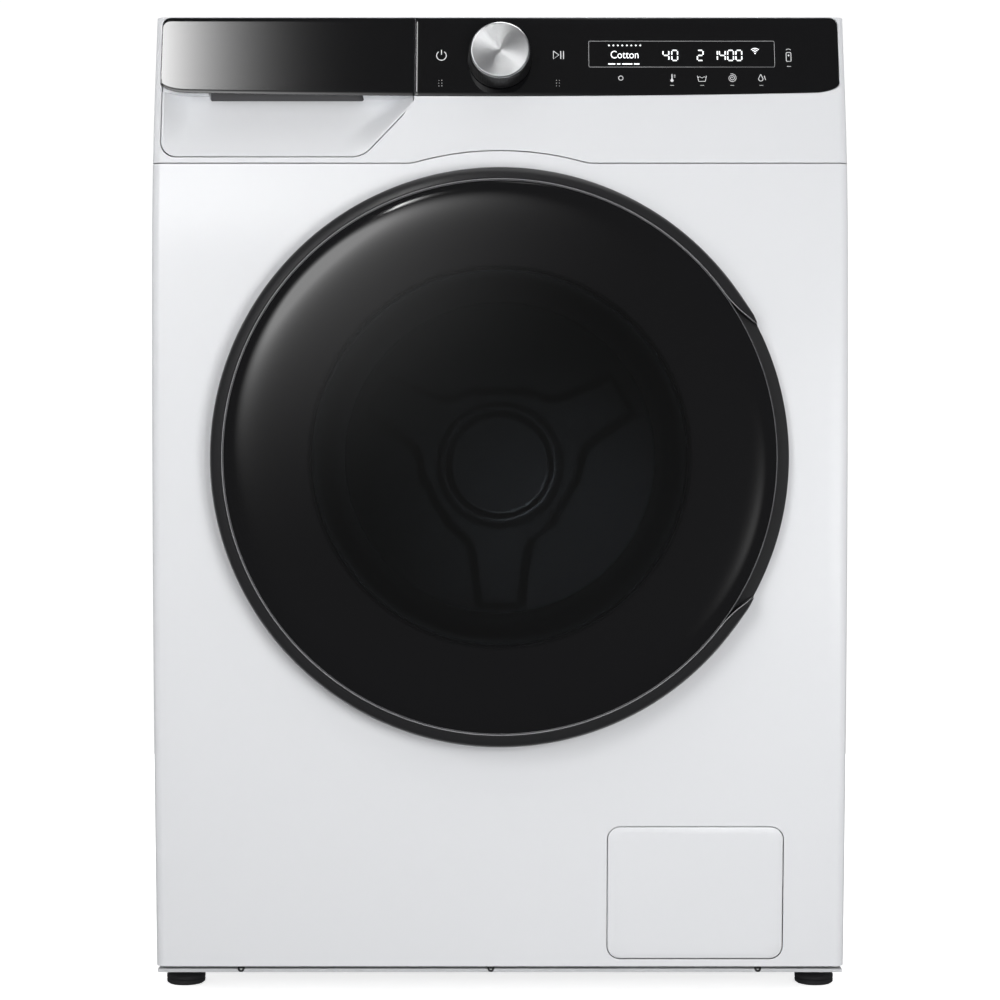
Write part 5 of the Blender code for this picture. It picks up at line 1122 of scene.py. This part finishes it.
bottom_y = float(front_y(SKIRT_Z)) + 0.0020
screws("skirt_screws", [(x, bottom_y - 0.0005, 0.0196) for x in (-0.226, -0.008, 0.225)], 0.0032, -1,
       "cabinet", BLACK_SATIN)
spots = [(x, back_high.y + 0.0020, z) for x in (-0.285, -0.1, 0.1, 0.285) for z in (0.035, 0.812)]
spots += [(x, back_high.y + 0.0020, z) for x in (-0.285, 0.285) for z in (0.24, 0.465, 0.69)]
screws("back_screws", spots, 0.0040, 1, "cabinet", ZINC)
spots = [(x, cover_high.y + 0.0004, z) for x in (-0.172, 0.172) for z in (0.33, 0.60)]
spots += [(x, cover_high.y + 0.0004, z) for x in (-0.09, 0.09)
          for z in (cover_low.z + 0.014, cover_high.z - 0.014)]
screws("cover_screws", [(x, y - 0.0008, z) for x, y, z in spots], 0.0036, 1, "cabinet", ZINC)
ring_spots = [(0.197 * math.cos(a), -0.2885, DOOR_Z + 0.197 * math.sin(a))
              for a in np.radians([60, 105, 150, 210, 255, 300, 335, 25])]
screws("door_screws", ring_spots, 0.0042, 1, "door", STAINLESS)


# %% Springs
def spring(name, side):
    """A wire ring carried along a helix with straight ends."""
    low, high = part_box(name)
    x, y = side * 0.262, (low.y + high.y) / 2
    t = np.linspace(0, 1, 700)
    turns = np.clip((t - 0.08) / 0.84, 0, 1)
    fade = step(0.04, 0.12, t) * step(0.96, 0.88, t)
    radius, a = 0.010 * fade + 0.0002, 2 * math.pi * 11 * turns
    path = np.stack([x + radius * np.cos(a), y + radius * np.sin(a),
                     low.z + 0.0004 + (high.z - low.z - 0.0008) * t], 1)
    ahead = np.gradient(path, axis=0)
    ahead /= np.linalg.norm(ahead, axis=1, keepdims=True)
    side_way = np.cross(ahead, [0.3, 0.9, 0.1])
    side_way /= np.linalg.norm(side_way, axis=1, keepdims=True)
    up_way = np.cross(ahead, side_way)
    b = np.linspace(0, 2 * math.pi, 11)[None, :, None]
    wire = path[:, None] + 0.0016 * (np.cos(b) * side_way[:, None] + np.sin(b) * up_way[:, None])
    wire = np.concatenate([np.repeat(path[:1, None], 11, 1), wire, np.repeat(path[-1:, None], 11, 1)])
    made = piece(name + "_coil", [wire], ZINC, None, name, sharp=60)
    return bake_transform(made)


spring("spring_left", -1)
spring("spring_right", 1)
print("small parts dressed")


# %% [markdown]
# ## Display and printed marks
# The marks lie on the leaning face, a tenth of a millimetre proud. Each one is a ribbon: a path in x and z
# with a width. The digits are the seven strokes of a display, and a filled shape is a fan of its outline.

# %% Ribbons on the panel
def on_panel(x, z, proud):
    """A point over the control face."""
    return stacked(x, front_y(z) - proud, z)


def ribbon(points, width, closed=False):
    """Thin slab along a path: the path moved half the width to each side, 0.1 mm thick."""
    path = np.asarray(points, float)
    if closed:
        path = np.vstack([path, path[:1]])
    ahead = np.gradient(path, axis=0)
    if closed:
        ahead[0] = ahead[-1] = path[1] - path[-2]
    ahead /= np.linalg.norm(ahead, axis=1, keepdims=True)
    aside = np.stack([-ahead[:, 1], ahead[:, 0]], 1) * width / 2
    rails = np.stack([path + aside, path - aside])
    return slab(on_panel(rails[..., 0], rails[..., 1], 0.00012),
                on_panel(rails[..., 0], rails[..., 1], -0.00002))


def arc_path(x, z, radius, start, end, count=24):
    """Arc in degrees, as points."""
    a = np.radians(np.linspace(start, end, count))
    return np.stack([x + radius * np.cos(a), z + radius * np.sin(a)], 1)


def dot(x, z, radius):
    """Filled round mark."""
    a = np.linspace(0, 2 * math.pi, 17)[None, :]
    r = np.array([[0.0], [radius]])
    flat = on_panel(x + r * np.cos(a), z + r * np.sin(a), 0.00012)
    low = on_panel(x + r * np.cos(a), z + r * np.sin(a), -0.00002)
    return [flat, low, np.stack([flat[1], low[1]])]


def line(x0, z0, x1, z1, width):
    """Straight mark."""
    return ribbon(np.linspace((x0, z0), (x1, z1), 5), width)


SEGMENTS = {"0": "abcdef", "1": "bc", "2": "abged", "4": "fgbc"}


def digit(text, x, z, wide, high, width):
    """Seven-stroke digit with its lower left corner at (x, z)."""
    m, gap = z + high / 2, width * 0.62
    strokes = {
        "a": (x + gap, z + high, x + wide - gap, z + high),
        "b": (x + wide, z + high - gap, x + wide, m + gap),
        "c": (x + wide, m - gap, x + wide, z + gap),
        "d": (x + gap, z, x + wide - gap, z),
        "e": (x, m - gap, x, z + gap),
        "f": (x, z + high - gap, x, m + gap),
        "g": (x + gap, m, x + wide - gap, m),
    }
    return [grid for key in SEGMENTS[text] for grid in line(*strokes[key], width)]


# %% Marks on the panel
lit, marks = [], []
frame_path = rounded_rectangle((0.0772, 0.2387), (0.8046, 0.8282), 0.0012)[:-1]
marks += ribbon(frame_path, 0.00022, closed=True)
for k in range(8):
    lit += dot(0.0948 + 0.0039 * k, 0.8243, 0.00075)
for k, width in enumerate((0.0062, 0.0030, 0.0090, 0.0048)):
    start = 0.0940 + (0, 0.0076, 0.0120, 0.0224)[k]
    lit += line(start, 0.8074, start + width, 0.8074, 0.0011)
for text, x in (("4", 0.1418), ("0", 0.1494), ("2", 0.1716), ("1", 0.1840), ("4", 0.1908), ("0", 0.1980),
                ("0", 0.2052)):
    lit += digit(text, x, 0.8106, 0.0050, 0.0092, 0.0011)
for radius in (0.0017, 0.0032, 0.0047):
    lit += ribbon(arc_path(0.2218, 0.8170, radius, 45, 135, 12), 0.0006)
lit += dot(0.2218, 0.8170, 0.0006)
marks += ribbon(arc_path(-0.0509, 0.8150, 0.0042, 125, 415, 40), 0.0008) + line(-0.0509, 0.8158, -0.0509,
                                                                                0.8202, 0.0008)
marks += ribbon([(0.0464, 0.8192), (0.0464, 0.8120), (0.0513, 0.8156), (0.0464, 0.8192)], 0.0007)
marks += line(0.0528, 0.8192, 0.0528, 0.8120, 0.0008) + line(0.0552, 0.8192, 0.0552, 0.8120, 0.0008)
for x in (-0.0530, -0.0505):
    for z in (0.7925, 0.7900, 0.7875):
        marks += dot(x, z, 0.00030) + dot(x + 0.1020, z, 0.00030)
print("lit strokes:", len(lit), "marks:", len(marks))

# %% [markdown]
# Under the display a row of small signs names what each key sets: a ring, a thermometer, a tub, a spiral
# and a drop. They are plain strokes again. At the right end there is a small remote sign.

# %% Key signs
SIGN_Z = 0.7946
marks += ribbon(arc_path(0.1048, SIGN_Z, 0.0019, 0, 360, 32)[:-1], 0.0006, closed=True)
marks += line(0.1492, SIGN_Z - 0.0010, 0.1492, SIGN_Z + 0.0036, 0.0009) + dot(0.1492, SIGN_Z - 0.0022,
                                                                              0.0014)
for rise in (0.0026, 0.0010):
    marks += line(0.1508, SIGN_Z + rise, 0.1522, SIGN_Z + rise, 0.0005)
tub = [(0.1712, SIGN_Z + 0.0020), (0.1724, SIGN_Z - 0.0030), (0.1780, SIGN_Z - 0.0030),
       (0.1792, SIGN_Z + 0.0020)]
wave = [(0.1718, 0.0006), (0.1735, 0.0012), (0.1752, 0.0), (0.1770, 0.0012), (0.1786, 0.0006)]
marks += ribbon(tub, 0.0006) + ribbon([(x, SIGN_Z + rise) for x, rise in wave], 0.0005)
turn = np.linspace(0, 4.6 * math.pi, 60)
marks += ribbon(np.stack([0.2013 + (0.0006 + 0.00023 * turn) * np.cos(turn),
                          SIGN_Z + (0.0006 + 0.00023 * turn) * np.sin(turn)], 1), 0.0005)
drop = arc_path(0.2262, SIGN_Z - 0.0008, 0.0019, 150, 390, 24)
marks += ribbon(np.vstack([[(0.2262, SIGN_Z + 0.0034)], drop, [(0.2262, SIGN_Z + 0.0034)]]), 0.0006)
marks += line(0.2292, SIGN_Z + 0.0020, 0.2304, SIGN_Z - 0.0018, 0.0006)
for x in (0.1492, 0.1752, 0.2013, 0.2266):
    marks += line(x - 0.0016, 0.7880, x + 0.0016, 0.7880, 0.0004)
remote = rounded_rectangle((0.2488, 0.2530), (0.8098, 0.8178), 0.0008, 0.0, 4)[:-1]
marks += ribbon(remote, 0.0006, closed=True) + dot(0.2509, 0.8152, 0.0008)
marks += ribbon(arc_path(0.2509, 0.8184, 0.0026, 40, 140, 10), 0.0005)
marks += line(0.2492, 0.8052, 0.2526, 0.8052, 0.0004)
piece("display_strokes", lit, DISPLAY_LIGHT, "cabinet", sharp=60)
piece("panel_marks", marks, PRINT_WHITE, "cabinet", sharp=60)

# %% Word on the display
word = bpy.data.curves.new("programme_word", "FONT")
word.body = "Cotton"
word.size = 0.0098
word.extrude = 0.00004
word.align_x = "CENTER"
holder = bpy.data.objects.new("programme_word", word)
bpy.context.scene.collection.objects.link(holder)
settled = bpy.data.meshes.new_from_object(holder.evaluated_get(bpy.context.evaluated_depsgraph_get()))
bpy.data.objects.remove(holder)
co = np.empty(len(settled.vertices) * 3)
settled.vertices.foreach_get("co", co)
co = co.reshape(-1, 3)
flat_x, flat_z, lift = 0.1084 + co[:, 0] * 0.86, 0.8126 + co[:, 1], co[:, 2]
settled.vertices.foreach_set("co", stacked(flat_x, front_y(flat_z) - 0.00008 - lift, flat_z).ravel())
settled.materials.clear()
settled.materials.append(DISPLAY_LIGHT)
programme = bpy.data.objects.new("programme_name", settled)
bpy.context.scene.collection.objects.link(programme)
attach(programme, "cabinet")
print("display done")

# %% [markdown]
# ## The pieces that keep their shape
# The other solids already have the right shape, so each one only gets its finish.

# %% Finishes on the other solids
KEPT = {
    GREY_PLASTIC: "base_pan door_lock drain_pump drain_outlet",
    WHITE_PLASTIC: "filter_surround drawer_tray",
    CIRCUIT: "control_board",
    ZINC: "rotary_encoder top_frame hinge_bracket hinge_leaf",
    TUB_PLASTIC: "dispenser_housing tub_front tub_rear",
    BLUE_PLASTIC: "inlet_valve filter_cap",
    BLACK_RUBBER: "cable_gland drive_belt",
    BLACK_SATIN: "damper_cylinder_left damper_cylinder_right",
    STAINLESS: "damper_rod_left damper_rod_right bearing_front bearing_rear hinge_pin latch_hook "
               "motor_pulley",
    CONCRETE: "counterweight_front",
    CAST: "motor drum_spider drum_pulley",
}
for material, names in KEPT.items():
    for name in names.split():
        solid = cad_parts[name]
        solid.data.materials.clear()
        solid.data.materials.append(material)
print("kept solids:", sum(len(names.split()) for names in KEPT.values()))

# %% [markdown]
# ## Studio
# A pale floor, soft lamps and dim surroundings. Black gloss shows what it reflects, so the cards matter: a
# round glow behind the camera, high on the left, fades over the door, a faint one answers it low on the
# right, and a strip high on the left fades along the drawer's lip. The camera stands level in front.


# %% Floor and surroundings
def plane(name, corners, material):
    """Flat staged rectangle from its four corners, with a map from 0 to 1."""
    mesh = bpy.data.meshes.new(name)
    mesh.from_pydata([tuple(c) for c in corners], [], [(0, 1, 2, 3)])
    chart = mesh.uv_layers.new(name="surface")
    chart.data.foreach_set("uv", [0, 0, 1, 0, 1, 1, 0, 1])
    mesh.materials.append(material)
    made = bpy.data.objects.new(name, mesh)
    bpy.context.scene.collection.objects.link(made)
    return made


floor_finish = finish("floor_white", (0.86, 0.86, 0.86), 0.75, grain=60, bump=0.0, vary=0.0)
glow = {"Emission Color": (1, 1, 1, 1), "Emission Strength": 0.72}
set_sockets(floor_finish.node_tree.nodes["Principled BSDF"], glow)
floor = plane("floor", [(-3, -1.6, 0), (3, -1.6, 0), (3, 1.6, 0), (-3, 1.6, 0)], floor_finish)
floor.visible_glossy = floor.visible_diffuse = False

world = bpy.data.worlds.new("studio")
world.use_nodes = True
tree = world.node_tree
DIM = 0.14
dim = tree.nodes["Background"]
set_sockets(dim, {"Color": (DIM, DIM, 1.03 * DIM, 1)})
bright = add(tree, "Background", Color=(1, 1, 1, 1), Strength=1.05)
seen, either = add(tree, "LightPath"), add(tree, "MixShader")
join(tree, (seen, "Is Camera Ray", either, "Fac"), (dim, "Background", either, 1),
     (bright, "Background", either, 2), (either, "Shader", tree.nodes["World Output"], "Surface"))
bpy.context.scene.world = world


# %% Light cards
def card(name, corners, strength, kind, reach, power):
    """Light card that fades from its middle ("round") or from one end ("end") with a power."""
    material, tree, shader = network(name)
    tree.nodes.remove(shader)
    round_one = kind == "round"
    centre = add(tree, "Mapping", Location=(-0.5, -0.5, 0) if round_one else (0, 0, 0),
                 Scale=(1, 1, 1) if round_one else (1, 0, 1))
    far = add(tree, "VectorMath", "LENGTH")
    fall = add(tree, "MapRange", From_Min=reach[1], From_Max=reach[0])
    curve = add(tree, "Math", "POWER")
    curve.inputs[1].default_value = power
    level = add(tree, "Math", "MULTIPLY_ADD")
    level.inputs[1].default_value, level.inputs[2].default_value = strength, DIM
    glow = add(tree, "Emission")
    join(tree, (own_map(tree), "UV", centre, "Vector"), (centre, "Vector", far, 0),
         (far, "Value", fall, "Value"), (fall, "Result", curve, 0), (curve, "Value", level, 0),
         (level, "Value", glow, "Strength"), (glow, "Emission", tree.nodes["Material Output"], "Surface"))
    made = plane(name, corners, material)
    made.visible_camera = False
    return made


def facing(x, z, half_x, half_z, y):
    """Corners of an upright card."""
    around = ((-1, -1), (1, -1), (1, 1), (-1, 1))
    return [(x + half_x * across, y, z + half_z * up) for across, up in around]


card("glow_card", facing(-1.1, 1.65, 1.75, 1.6, -3.3), 5.6, "round", (0.14, 0.50), 3.2)
card("answer_card", facing(1.45, 0.10, 0.75, 0.75, -3.2), 0.8, "round", (0.1, 0.50), 2.0)
strip = [(-0.62, -1.80, 1.84), (-0.10, -1.80, 1.84), (-0.10, -1.72, 2.08), (-0.62, -1.72, 2.08)]
card("strip_card", strip, 38.0, "end", (0.0, 1.0), 5.6)


# %% Lamps
def lamp(name, place, aim, size, power, seen_in_gloss=False):
    """Square area lamp that lights the paint but isn't mirrored unless asked."""
    data = bpy.data.lights.new(name, "AREA")
    data.shape, data.size, data.energy = "SQUARE", size, power
    made = bpy.data.objects.new(name, data)
    made.location = place
    made.rotation_euler = (Vector(aim) - Vector(place)).to_track_quat("-Z", "Y").to_euler()
    made.visible_glossy = seen_in_gloss
    bpy.context.scene.collection.objects.link(made)
    return made


lamp("key", (-1.7, -1.7, 2.7), (0, -0.2, 0.55), 1.4, 3.0)
lamp("low_right", (0.5, -1.9, 0.35), (0.2, -0.3, -0.2), 0.6, 16.5)
lamp("low_left", (-0.6, -1.9, 0.35), (-0.3, -0.3, -0.2), 0.6, 4.0)
lamp("side_left", (-3.0, 0.5, 1.1), (0, 0.1, 0.4), 1.5, 38.0)
lamp("side_right", (3.0, 0.5, 1.1), (0, 0.1, 0.4), 1.5, 38.0)
lamp("overhead", (0.2, -0.2, 3.0), (0, 0, 0.5), 2.2, 16, True)
lamp("rear", (0.8, 3.0, 2.2), (0, 0.2, 0.4), 2.0, 60, True)
lamp("drum_light", (-0.02, -0.205, 0.605), (0.0, 0.12, 0.45), 0.05, 0.010)

# %% Camera
lens = bpy.data.cameras.new("camera")
lens.lens, lens.sensor_width, lens.clip_end = 81.7, 36.0, 30.0
camera = bpy.data.objects.new("camera", lens)
camera.location = (0.0, -2.233, 0.4286)
camera.rotation_euler = (math.pi / 2, 0, 0)
bpy.context.scene.collection.objects.link(camera)
bpy.context.scene.camera = camera
bpy.context.scene.view_settings.view_transform = "Standard"
print("studio ready")
